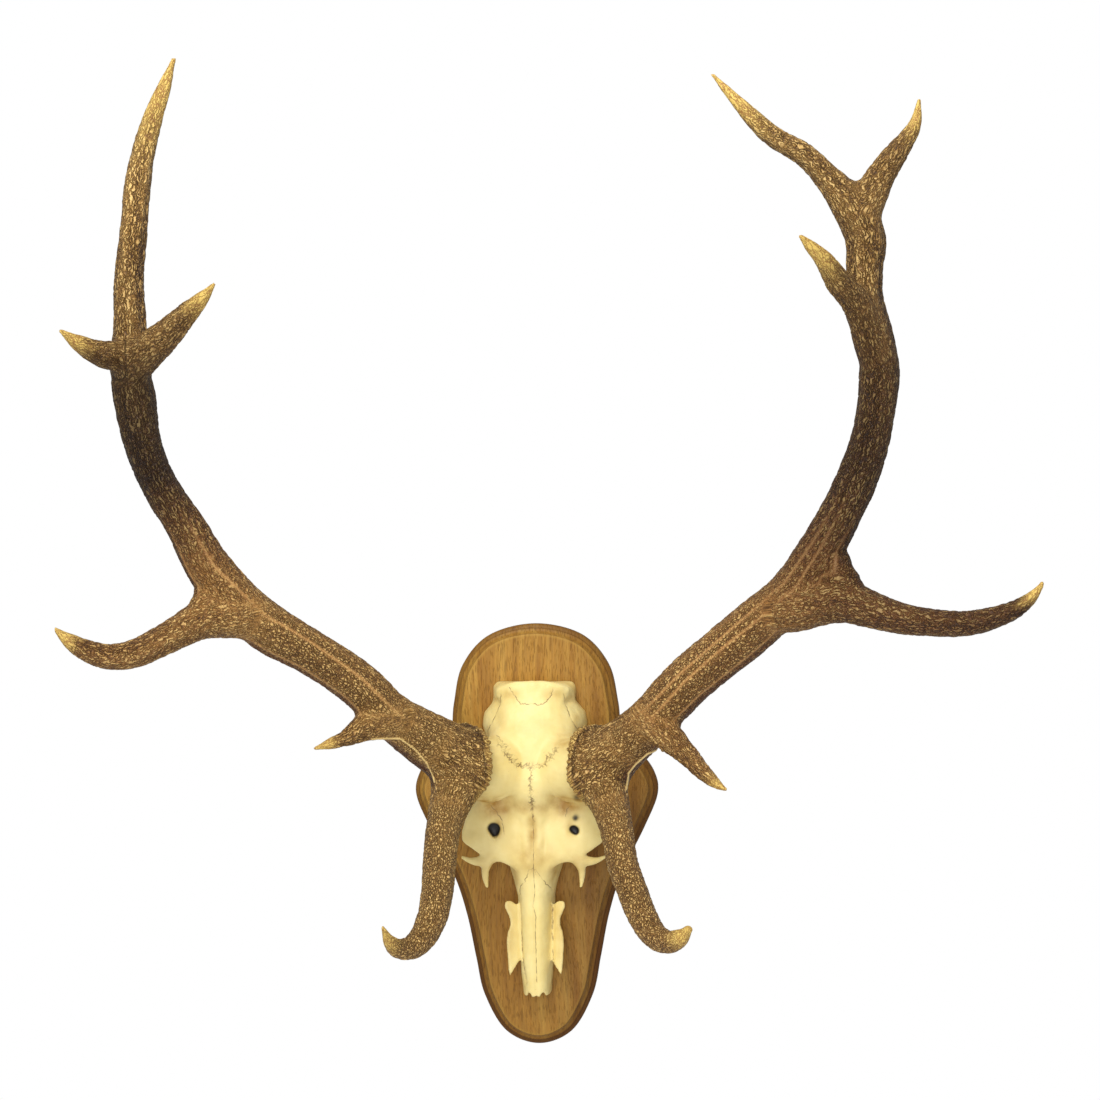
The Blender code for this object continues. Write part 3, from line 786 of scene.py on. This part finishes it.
def dryBone():
    material, tree, shader, place = newMaterial("dryBone")
    cloud = noiseNode(tree, place, 26, 4.0, 0.6)
    colour = ramp(tree, cloud, [(0.35, skull["ivory"]), (0.65, skull["pale"])])
    mottle = noiseNode(tree, place, 95, 5.0, 0.65)
    patchy = spread(tree, mottle, 0.3, 0.7, 0.6, 1.25)
    # ochre, partly real staining and partly painted shade in the valleys and near the board
    ochreStainAndShade = times(tree, attribute(tree, "ochreStainAndShade"), patchy, clamp=True)
    colour = mixColour(tree, ochreStainAndShade, colour, skull["ochre"])
    freckles = ramp(tree, noiseNode(tree, place, 260, 3.0, 0.7), [(0.24, 1.0), (0.34, 0.0)])
    colour = mixColour(tree, times(tree, freckles, 0.22), colour, skull["ochre"])
    # thin dark seams, drawn where the signed distance passes zero
    gap = mathNode(tree, "ABSOLUTE", attribute(tree, "seamGap"))
    thin = spread(tree, gap, 0.1, 0.6, 1.0, 0.0)
    broken = spread(tree, noiseNode(tree, place, 180, 2.0), 0.35, 0.6, 0.15, 0.85)
    seam = times(tree, times(tree, thin, broken), attribute(tree, "seamNear"))
    colour = mixColour(tree, seam, colour, skull["seamBrown"])
    # painted shade in the holes, and painted shadow where the right brow tine meets the orbit
    colour = mixColour(tree, attribute(tree, "holeShade"), colour, skull["shadeBlack"])
    grain = noiseNode(tree, stretched(tree, place, (420, 420, 120)), 1.0, 4.0, 0.6)
    normal = bumpNode(tree, grain, 0.25, 0.35)
    normal = bumpNode(tree, mathNode(tree, "SUBTRACT", 1.0, seam), 0.4, 0.4, normal)
    weight, radius = skull["subsurface"]
    setInputs(tree, shader, {
        "Base Color": colour, "Normal": normal, "Roughness": skull["roughness"],
        "Subsurface Weight": weight, "Subsurface Radius": radius,
    })
    return material


antlers = {
    "voxel": 1.56,
    "wrinkle": 4.4,  # size of the larger wrinkles across a branch
    "wrinkleStretch": 2.6,
    "wrinkleHeight": 0.8,
    "flute": 9.0,
    "fluteStretch": 9.0,
    "fluteHeight": 0.9,
    # the fine grooves: their spacing across and along a branch
    "short": (2.2, 4.6),
    "long": (2.3, 14),
    "lineStep": 3.0,  # how close the points down the middle of a branch are
    # crotches grown together: difference of reach, distance from the burr, passes
    "crotch": ((2, 12), (14, 40), 70),
    # where things start and end along the beam, from the burr
    "pearls": ((30, 60), (260, 400)),
    "browPearls": (40, 70),
    "browStart": (28, 62),
    "deepFlutes": (420, 560),
    "underEnd": (300, 430),
    "veinSpan": ((60, 110), (330, 420)),
    "veinWidth": 1.4,
    # the raised ridge under the beam, which gets a painted highlight
    "highlightRidgeReach": (1.3, 1.2),  # reach and height of the bare ridge
    "roughness": 0.5,
    "specular": 0.3,
    # painted highlight on the grain tops (crest); the dark grooves are partly the bark's own colour and
    # partly painted shade
    "crest": paint(226, 188, 118),
    "ridge": paint(160, 121, 62),
    "groove": paint(58, 34, 14),
    "red": paint(144, 84, 38),
    "vein": paint(184, 130, 80),
    "tipGroove": paint(150, 104, 52),
    "ivory": paint(216, 182, 96),
    # painted highlight along the ridge under the beam
    "ridgeHighlight": paint(240, 208, 136),
}

leftAntler = {
    "side": "left",
    "branches": {
        "beam": [
            (-62, -117, 79, 34), (-78, -132, 92.5, 29.3), (-97, -147, 106.5, 26.2), (-125, -171, 130, 22.3),
            (-153, -195, 161, 21.5), (-191, -222, 191, 21), (-231.2, -245, 218, 23.2),
            (-271, -275, 266, 20.8), (-290, -295, 307, 17.8), (-306, -312, 338, 16.3),
            (-317.5, -330, 373, 16.3), (-321, -354, 419, 18.6), (-322, -365, 446, 17.6),
            (-319, -373, 474, 14.6), (-318.5, -378, 511, 13.4), (-314, -380, 553, 12),
            (-309.2, -376, 605, 10.9), (-299.3, -368, 653, 8.8), (-290, -358, 685, 5.8),
            (-283.2, -350, 710.5, 1.9),
        ],
        "brow": [
            (-64, -124, 74, 31), (-70, -145, 52, 22), (-74, -166, 36, 18), (-76, -188, 19, 16),
            (-76, -214, -6, 15.4), (-76, -240, -30, 14.6), (-80, -262, -51, 13.4), (-90, -282, -66, 11.4),
            (-102, -300, -67, 9), (-108.5, -316, -58.5, 6.2), (-113, -332, -43, 1.8),
        ],
        "bez": [
            (-121, -172, 128, 22), (-143, -191, 122, 15), (-160, -212, 112.5, 8.4), (-174, -225, 107.5, 5.4),
            (-187, -236, 104, 1.6),
        ],
        "trez": [
            (-246, -256, 229, 24), (-277, -278, 224, 18.5), (-295, -295, 214, 15), (-312, -312, 204, 13.2),
            (-330, -326, 195, 12.4), (-348, -340, 193, 11.2), (-364, -352, 199, 9.6), (-378, -362, 209, 6.4),
            (-388, -371, 219.5, 1.9),
        ],
        "crownInner": [
            (-324, -360, 438, 17), (-304, -386, 451.4, 16), (-279, -410, 466, 12.8), (-255, -432, 483, 9),
            (-241, -443, 493, 5.6), (-230, -451, 503, 1.7),
        ],
        "crownOuter": [
            (-318, -360, 440, 16), (-326, -384, 449, 13.6), (-339, -406, 452, 10.8), (-351, -426, 459, 7),
            (-362, -441, 468, 1.8),
        ],
    },
    "web": [(-266, -274, 264, 14), (-280, -281, 228, 13.5)],
    # length of the ivory at each tip, and how strong it is
    "tips": {
        "beam": (120, 0.85), "brow": (38, 1.0), "bez": (30, 0.9), "trez": (34, 1.0), "crownInner": (46, 0.9),
        "crownOuter": (40, 0.9),
    },
    # redness and darkness along the beam (mm from the burr, redness, brightness)
    "beamTone": [
        (0, 0.10, 1.00), (90, 0.15, 1.00), (180, 0.30, 1.00), (260, 0.25, 1.00), (330, 0.45, 0.90),
        (360, 0.55, 0.70), (430, 0.75, 0.14), (520, 0.40, 0.30), (570, 0.15, 0.80), (660, 0.05, 1.00),
        (760, 0.0, 0.90),
    ],
    # bright ridge under the beam, by the brow tine: a raised ridge with a painted highlight
    "highlightRidge": [
        (-139, -196, 110), (-115, -178, 109), (-102, -165, 98), (-92, -155, 84), (-86, -150, 65),
    ],
    # fine pale lines along the beam, and the side that hangs down, as turns round it
    "veins": [0.47, -0.8],
    "lower": -1,
}

rightAntler = {
    "side": "right",
    "branches": {
        "beam": [
            (66, -117, 77, 34), (81, -131, 90, 28.5), (99, -145, 105, 24.2), (125, -167, 131, 23),
            (154, -192, 161.5, 23), (180.5, -212, 184.5, 23.1), (213.5, -236, 212.5, 23.4),
            (249, -262, 246, 22),
            (270, -282, 280, 20), (286, -298, 310, 18.9), (304, -318, 351, 17.8), (315, -338, 396, 16.7),
            (317, -355, 437, 17.6), (313, -366, 460, 16.5), (305.5, -374, 485, 15.4), (304, -380, 513, 15.6),
            (304.5, -384, 540, 17.4), (291, -387, 568, 16.4), (273, -388, 590, 11.4), (255, -390, 608, 9.8),
            (228, -392, 624, 8.7), (214, -392, 637, 7.7), (200, -390, 653, 5.6), (187, -388, 668, 3.2),
            (178, -386, 679, 1.5),
        ],
        "brow": [
            (67, -124, 73, 31), (74, -143, 54, 22), (80, -163, 40, 17.8), (86.5, -190, 18.5, 15),
            (92, -216, -5, 14.3), (100.5, -238, -24, 14), (109.5, -260, -43, 13.4), (120, -280, -57, 12),
            (132, -298, -61, 10.4), (144, -314, -55, 8), (152, -325, -45, 3.6),
        ],
        "bez": [
            (118, -167, 126, 21), (131, -183, 112, 15.6), (142, -196, 102, 12), (154.5, -214, 91, 9.6),
            (166, -232, 80, 7.4), (176.5, -246, 72, 5), (186, -259, 67, 1.7),
        ],
        "trez": [
            (238, -256, 228, 23.5), (287, -284, 235, 20), (310, -300, 228, 16.2), (333, -312, 221, 13.6),
            (360, -326, 217, 12), (388, -340, 216, 11), (411, -352, 221, 9.6), (430.5, -361, 229.5, 7.5),
            (442, -368, 239.5, 4.9), (450, -373, 251, 1.9),
        ],
        "crownFront": [
            (313, -360, 446, 17), (297.5, -391, 482.5, 13), (279, -416, 501, 10.6), (265.8, -436, 516.8, 7.4),
            (255, -446, 526.4, 4.8), (247, -453, 533.6, 1.8),
        ],
        "crownFork": [
            (303, -386, 564, 17), (316, -390, 587, 12.8), (330, -397, 607, 10.2), (338, -399, 618, 8),
            (344.7, -400, 629, 5.8), (349, -400, 651, 1.8),
        ],
    },
    "web": [(270, -282, 289, 16), (286, -289, 262, 13.5), (302, -297, 234, 11)],
    "tips": {
        "beam": (80, 1.0), "brow": (32, 1.0), "bez": (34, 0.9), "trez": (34, 1.0), "crownFront": (62, 0.95),
        "crownFork": (44, 0.9),
    },
    "beamTone": [
        (0, 0.15, 1.00), (90, 0.35, 1.00), (180, 0.45, 1.00), (260, 0.45, 0.86), (330, 0.75, 0.48),
        (430, 0.75, 0.24), (520, 0.50, 0.40), (600, 0.15, 0.80), (700, 0.10, 0.86), (800, 0.0, 0.90),
    ],
    "highlightRidge": [
        (128, -190, 96), (114, -176, 92), (103, -164, 82), (95.5, -156, 73), (93, -152, 57),
    ],
    "veins": [-0.55, -0.12, 0.75],
    "lower": 1,
}


def burrShape(bm, side):
    turn = burrAxis(side).to_track_quat("Z", "Y").to_matrix().to_4x4()
    place = Matrix.Translation(metres(*burrs["centre"][side])) @ turn
    lower, upper = burrs["disc"]
    bmesh.ops.create_cone(
        bm, cap_ends=True, segments=96, radius1=lower * mm, radius2=upper * mm, depth=burrs["height"] * mm,
        matrix=place,
    )
    sway, (regular, uneven) = burrs["knobSway"], burrs["knobRise"]
    for i in range(burrs["knobs"]):
        angle = 2 * math.pi * i / burrs["knobs"]
        wild = noise.noise((i * 1.7, 3.1, 0.4))
        reach = burrs["radius"] + sway * math.sin(3 * angle + 1) + sway * wild
        rise = regular * math.sin(5 * angle) + uneven * noise.noise((i * 2.3, 0.7, 5.5))
        middle = place @ (Vector((reach * math.cos(angle), reach * math.sin(angle), rise)) * mm)
        size = burrs["knobRadius"] + sway * noise.noise((i * 3.9, 8.2, 1.1))
        stretch = Matrix.Diagonal((*burrs["knobShape"], 1))
        long = place.to_3x3().to_4x4() @ Matrix.Rotation(angle, 4, "Z") @ stretch
        bmesh.ops.create_uvsphere(
            bm, u_segments=12, v_segments=10, radius=size * mm, matrix=Matrix.Translation(middle) @ long
        )


def branchLine(route):
    # evenly spaced points down the middle of a branch, with a frame that turns with it
    rough = np.array(route, float)
    travel = np.concatenate([[0], np.cumsum(np.linalg.norm(np.diff(rough[:, :3], axis=0), axis=1))])
    s = np.arange(0, travel[-1], antlers["lineStep"])
    line = np.stack([np.interp(s, travel, rough[:, k]) for k in range(4)], axis=1)
    for _ in range(6):
        line[1:-1] = (line[:-2] + 2 * line[1:-1] + line[2:]) / 4
    along = np.gradient(line[:, :3], axis=0)
    along /= np.linalg.norm(along, axis=1)[:, None]
    viewer = np.array([0, -1.0, 0])
    first = viewer - along * (along @ viewer)[:, None]
    first /= np.linalg.norm(first, axis=1)[:, None]
    second = np.cross(along, first)
    return s, line[:, :3], line[:, 3], along, first, second


def branchFlow(points, route):
    # how far each point is outside the branch's skin, and its place around and along it
    s, centre, radius, along, first, second = branchLine(route)
    squared = (points**2).sum(1)[:, None] + (centre**2).sum(1)[None] - 2 * points @ centre.T
    nearest = squared.argmin(1)
    step = ((points - centre[nearest]) * along[nearest]).sum(1) / antlers["lineStep"]
    place = np.clip(nearest + step, 0, len(s) - 1)
    low = np.minimum(place.astype(int), len(s) - 2)
    part = (place - low)[:, None]

    def between(values):
        return values[low] * (1 - part) + values[low + 1] * part

    offset = points - between(centre)
    around = (offset * between(first)).sum(1)
    across = (offset * between(second)).sum(1)
    travelled = s[low] * (1 - part[:, 0]) + s[low + 1] * part[:, 0]
    skin = np.linalg.norm(offset, axis=1) - between(radius[:, None])[:, 0]
    return skin, np.c_[around, across, travelled], s[-1]


def barkRelief(flow, pearled, grooved):
    size = antlers["wrinkle"]
    long = size * antlers["wrinkleStretch"] * (1 - 0.45 * pearled)
    place = np.c_[flow[:, :2] / size, flow[:, 2] / long]
    place[:, 0] += 0.5 * noiseAt(flow / 8 + 20)
    place[:, 1] += 0.5 * noiseAt(flow / 9 + 50)
    place[:, 2] += 0.8 * noiseAt(flow / 7 + 80)
    wrinkles = ridgesAt(place)
    width, stretch = antlers["flute"], antlers["fluteStretch"]
    flutes = noiseAt(flow / (width, width, width * stretch) + 31)
    return antlers["wrinkleHeight"] * (wrinkles - 0.6) + antlers["fluteHeight"] * flutes * (0.6 + grooved)


def makeAntler(look):
    side, branches = look["side"], look["branches"]
    bm = bmesh.new()
    for route in branches.values():
        routeTube(bm, route)
    routeTube(bm, look["web"])
    burrShape(bm, side)
    name = side + "Antler"
    bone = newObject(name, meshFrom(bm, name))
    skinOver(bone, antlers["voxel"], 3)
    applyModifiers(bone)
    shapeAntler(bone, look)
    axis = burrAxis(side)
    cutFlat(bone.data, Vector(burrs["centre"][side]) - axis * burrs["seatDrop"], -axis)
    bone.data.shade_smooth()
    return bone


def shapeAntler(bone, look):
    mesh = bone.data
    points = getPoints(mesh)
    count = len(points)
    skins, flows, ends = {}, {}, {}
    for name, route in look["branches"].items():
        skins[name], flows[name], ends[name] = branchFlow(points, route)
    # the crotches between branches are grown together
    ordered = np.sort(list(skins.values()), axis=0)
    gaps, starts, passes = antlers["crotch"]
    crotch = (1 - fade(ordered[1] - ordered[0], *gaps)) * fade(flows["beam"][:, 2], *starts)
    setPoints(mesh, melt(mesh, points, crotch, passes))
    points, normals = getPoints(mesh), getNormals(mesh)
    closest = np.min(list(skins.values()), axis=0)
    weights = {name: np.exp(-(skin - closest) / 4) for name, skin in skins.items()}
    # the grain leaves the burr with the beam, before the brow tine turns it down
    weights["brow"] *= fade(flows["brow"][:, 2], *antlers["browStart"])
    weights["beam"] += 1e-6
    total = sum(weights.values())
    relief, tip, vein, worn, under = np.zeros((5, count))
    pearlStart, pearlEnd = antlers["pearls"]
    veinStart, veinEnd = antlers["veinSpan"]
    for name in look["branches"]:
        weight = weights[name] / total
        use = weight > 0.02
        flow = flows[name][use]
        travelled = flow[:, 2]
        length, strength = look["tips"][name]
        wander = 8 * noiseAt(flow / (6, 6, 30))
        ivory = strength * fade(travelled + wander, ends[name] - length, ends[name] - length * 0.25)
        angle = np.arctan2(flow[:, 1], flow[:, 0])
        if name == "beam":
            front = 1 - 0.9 * fade(np.abs(angle), 0.8, 1.2)
            pearled = fade(travelled, *pearlStart) * (1 - fade(travelled, *pearlEnd)) * front
            grooved = fade(travelled, *antlers["deepFlutes"])
            # the side that hangs down, later darkened as painted shade
            hanging = fade(look["lower"] * angle, 0.65, 1.05) * (1 - fade(travelled, *antlers["underEnd"]))
            under[use] += weight[use] * hanging
        elif name == "brow":
            pearled = 0.95 * fade(travelled, *antlers["browPearls"])
            grooved = np.zeros(len(flow))
        else:
            pearled = np.full(len(flow), 0.15)
            grooved = np.full(len(flow), 0.5)
        height = barkRelief(flow, pearled, grooved) * (1 - 0.8 * ivory)
        worn[use] += weight[use] * pearled
        if name == "beam":
            width = np.hypot(flow[:, 0], flow[:, 1])
            line = np.zeros(len(flow))
            for turn in (*look["veins"], 2.4, -2.4):
                centre = turn + 0.05 * np.sin(travelled / 40 + turn * 4)
                away = (angle - centre + math.pi) % (2 * math.pi) - math.pi
                line = np.maximum(line, np.exp(-(away * width / antlers["veinWidth"]) ** 2))
            line *= fade(travelled, *veinStart) * (1 - fade(travelled, *veinEnd))
            height = height * (1 - 0.8 * line) + 0.35 * line
            vein[use] += weight[use] * line
        relief[use] += weight[use] * height
        tip[use] += weight[use] * ivory
    # raised ridge on the underside, which gets a painted highlight
    highlightRidgeGap = np.full(count, 9.0)
    ridge = np.array(look["highlightRidge"], float)
    for start, end in zip(ridge, ridge[1:]):
        span = (end - start)[[0, 2]]
        offset = (points - start)[:, [0, 2]]
        part = np.clip(offset @ span / (span @ span), 0, 1)
        far = np.linalg.norm(offset - part[:, None] * span, axis=1)
        facing = (normals[:, 1] < 0.3) & (np.abs(points[:, 1] - start[1]) < 40)
        highlightRidgeGap = np.minimum(highlightRidgeGap, np.where(facing, far, 9.0))
    reach, height = antlers["highlightRidgeReach"]
    bare = np.exp(-(highlightRidgeGap / reach) ** 2)
    relief = relief * (1 - bare) + height * bare
    # the seat and its rim stay as they are
    centre, axis = np.array(burrs["centre"][look["side"]], float), np.array(burrAxis(look["side"]))
    along = (points - centre) @ axis
    relief *= fade(along, -6, 3)
    points += normals * relief[:, None]
    low, high = (np.array(corner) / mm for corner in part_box(look["side"] + "_antler"))
    setPoints(mesh, np.clip(points, low, high))
    tone = np.array(look["beamTone"], float)
    travelled = flows["beam"][:, 2]
    redness = np.interp(travelled, tone[:, 0], tone[:, 1])
    brightness = np.interp(travelled, tone[:, 0], tone[:, 2])
    others = [name for name in look["branches"] if name != "beam"]
    nearestTine = np.argmin([skins[name] for name in others], axis=0)
    tineFlow = np.choose(nearestTine[:, None], [flows[name] for name in others])
    # the side that hangs down is redder, and darker as painted shade
    redness = np.maximum(redness, under)
    brightness *= 1 - 0.5 * under
    # pale knobs on the burr's rim, and darker between them
    reach = np.linalg.norm(points - centre - along[:, None] * axis, axis=1)
    rim = 1 - fade(np.abs(along), 6, 10)
    brightness *= 1 - 0.45 * rim * fade(reach, 35.2, 36.4) * (1 - fade(reach, 37.2, 38.6))
    tip = np.maximum(tip, 0.5 * rim * fade(reach, 38, 39.4))
    storeVector(mesh, "beamFlow", flows["beam"])
    storeVector(mesh, "tineFlow", tineFlow)
    stored = {
        "beamShare": weights["beam"] / total, "relief": relief, "tip": np.clip(tip, 0, 1), "vein": vein,
        "worn": worn, "highlightRidgeGap": highlightRidgeGap, "redness": redness, "brightness": brightness,
    }
    for name, values in stored.items():
        storeValue(mesh, name, values)


def antlerBark():
    material, tree, shader, place = newMaterial("antlerBark")

    def mixValue(share, a, b):
        return addNode(tree, "Mix", {0: share, 2: a, 3: b}, data_type="FLOAT").outputs[0]

    def winding(flow, spacing):
        # long grains that follow the branch, with fine grooves between them
        across, along = spacing
        sway = addNode(tree, "TexNoise", {"Vector": flow, "Scale": 0.2, "Detail": 2.0}).outputs["Color"]
        sway = vectorMath(tree, "SUBTRACT", sway, (0.5, 0.5, 0.5))
        sway = vectorMath(tree, "MULTIPLY", sway, (7.0, 7.0, 7.0))
        bent = stretched(tree, vectorMath(tree, "ADD", flow, sway), (1 / across, 1 / across, 1 / along))
        cells = addNode(tree, "TexVoronoi", {"Vector": bent, "Scale": 1.0}, feature="DISTANCE_TO_EDGE")
        return spread(tree, cells.outputs["Distance"], 0.0, 0.3)

    share = spread(tree, attribute(tree, "beamShare"), 0.4, 0.6)
    beamFlow, tineFlow = attribute(tree, "beamFlow", "Vector"), attribute(tree, "tineFlow", "Vector")
    short = mixValue(share, winding(tineFlow, antlers["short"]), winding(beamFlow, antlers["short"]))
    long = mixValue(share, winding(tineFlow, antlers["long"]), winding(beamFlow, antlers["long"]))
    worm = mixValue(attribute(tree, "worn"), long, short)
    height = mixValue(0.25, worm, spread(tree, attribute(tree, "relief"), -0.7, 0.7))
    ridgeLine = spread(tree, attribute(tree, "highlightRidgeGap"), 0.5, 1.2, 1.0, 0.0)
    smooth = mathNode(tree, "MAXIMUM", attribute(tree, "vein"), ridgeLine)
    height = mixValue(times(tree, smooth, 0.8), height, 0.6)
    cloud = noiseNode(tree, place, 18, 3.0, 0.6)
    ridge = mixColour(tree, attribute(tree, "redness"), antlers["ridge"], antlers["red"])
    ridge = mixColour(tree, times(tree, attribute(tree, "vein"), 0.45), ridge, antlers["vein"])
    light = times(tree, spread(tree, cloud, 0.3, 0.7, 0.9, 1.08), attribute(tree, "brightness"))
    # dark grooves, partly the bark's own colour and partly painted shade, and a painted highlight on the
    # grain tops
    colour = mixColour(tree, spread(tree, height, 0.05, 0.45), antlers["groove"], ridge)
    colour = mixColour(tree, spread(tree, height, 0.45, 0.95, end=0.9), colour, antlers["crest"])
    tip = attribute(tree, "tip")
    # the ivory is darker in its grooves, partly its own colour and partly painted shade
    ivory = mixColour(tree, spread(tree, height, 0.15, 0.5), antlers["tipGroove"], antlers["ivory"])
    colour = mixColour(tree, light, (0.0, 0.0, 0.0), colour)
    colour = mixColour(tree, tip, colour, ivory)
    # painted highlight along the ridge under the beam
    colour = mixColour(tree, times(tree, ridgeLine, 0.9), colour, antlers["ridgeHighlight"])
    bare = mathNode(tree, "SUBTRACT", 1.0, times(tree, tip, 0.7))
    fine = noiseNode(tree, place, 700, 3.0, 0.6)
    normal = bumpNode(tree, times(tree, mixValue(smooth, worm, 0.8), bare), 1.7, 1.0)
    normal = bumpNode(tree, fine, 0.2, 0.3, normal)
    setInputs(tree, shader, {
        "Base Color": colour, "Normal": normal, "Roughness": antlers["roughness"],
        "Specular IOR Level": antlers["specular"],
    })
    return material


studio = {
    "floorDrop": -0.6,
    "floorHalf": 1.0,
    "paper": ((0.80, 0.79, 0.77), (0.84, 0.83, 0.81)),
    "backdrop": (1.0, 1.0, 1.0),
    "ambient": 0.42,
    "aim": (15.2, 0, 282),
    "turn": 3.5,
    "roll": 0.6,
    "distance": 2400,
    "lens": 78.545,
    "sensor": 36,
    "lampAim": (0, -0.15, 0.25),
    # lights: where, size in metres, watts
    "key": ((-0.45, -2.2, 2.1), 0.9, 46),
    "fill": ((-0.1, -2.6, 0.15), 1.8, 32),
    "top": ((0.1, -0.9, 2.3), 0.9, 13),
}


def makeFloor():
    bm = bmesh.new()
    bmesh.ops.create_grid(bm, x_segments=2, y_segments=2, size=studio["floorHalf"])
    mesh = meshFrom(bm, "studioFloor")
    mesh.transform(Matrix.Translation((0, 0, studio["floorDrop"])))
    floor = newObject("studioFloor", mesh)
    material, tree, shader, place = newMaterial("palePaper")
    grey, white = studio["paper"]
    tint = ramp(tree, noiseNode(tree, place, 3, 2.0), [(0.3, grey), (0.7, white)])
    setInputs(tree, shader, {"Base Color": tint, "Roughness": 0.8})
    mesh.materials.append(material)


def makeLight(name, spot):
    where, size, watts = spot
    lamp = bpy.data.lights.new(name, "AREA")
    lamp.shape = "DISK"
    lamp.size = size
    lamp.energy = watts
    obj = newObject(name, lamp)
    obj.location = where
    obj.rotation_mode = "QUATERNION"
    obj.rotation_quaternion = (Vector(studio["lampAim"]) - Vector(where)).to_track_quat("-Z", "Y")


def makeWorld():
    world = bpy.data.worlds.new("studio")
    bpy.context.scene.world = world
    world.use_nodes = True
    tree = world.node_tree
    # the camera sees the backdrop at full strength, and the object gets the softer ambient light
    seen = addNode(tree, "LightPath").outputs["Is Camera Ray"]
    level = spread(tree, seen, start=studio["ambient"])
    setInputs(tree, tree.nodes["Background"], {"Color": (*studio["backdrop"], 1), "Strength": level})


def makeCamera():
    turn, roll = math.radians(studio["turn"]), math.radians(studio["roll"])
    forward = Vector((-math.sin(turn), math.cos(turn), 0))
    level = Vector((math.cos(turn), math.sin(turn), 0))
    upright = Vector((0, 0, 1))
    right = level * math.cos(roll) - upright * math.sin(roll)
    up = upright * math.cos(roll) + level * math.sin(roll)
    lens = bpy.data.cameras.new("photoCamera")
    lens.lens = studio["lens"]
    lens.sensor_width = studio["sensor"]
    camera = newObject("photoCamera", lens)
    axes = Matrix((right, up, -forward)).transposed().to_4x4()
    stand = metres(*studio["aim"]) - forward * studio["distance"] * mm
    camera.matrix_world = Matrix.Translation(stand) @ axes
    bpy.context.scene.camera = camera
    bpy.context.scene.view_settings.view_transform = "Standard"


makeWorld()
makeFloor()
for name in ("key", "fill", "top"):
    makeLight(name, studio[name])
makeCamera()
print("studio ready")

plaqueBoard = makeBoard()
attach(plaqueBoard, "root")
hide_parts("plaque")
print("board made,", len(plaqueBoard.data.polygons), "faces")

skullBone = makeSkull()
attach(skullBone, "root")
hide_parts("skull")
print("skull made,", len(skullBone.data.polygons), "faces")

bark = antlerBark()
for look in (leftAntler, rightAntler):
    antlerBone = makeAntler(look)
    antlerBone.data.materials.append(bark)
    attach(antlerBone, "root")
    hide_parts(look["side"] + "_antler")
    print(look["side"], "antler made,", len(antlerBone.data.polygons), "faces")
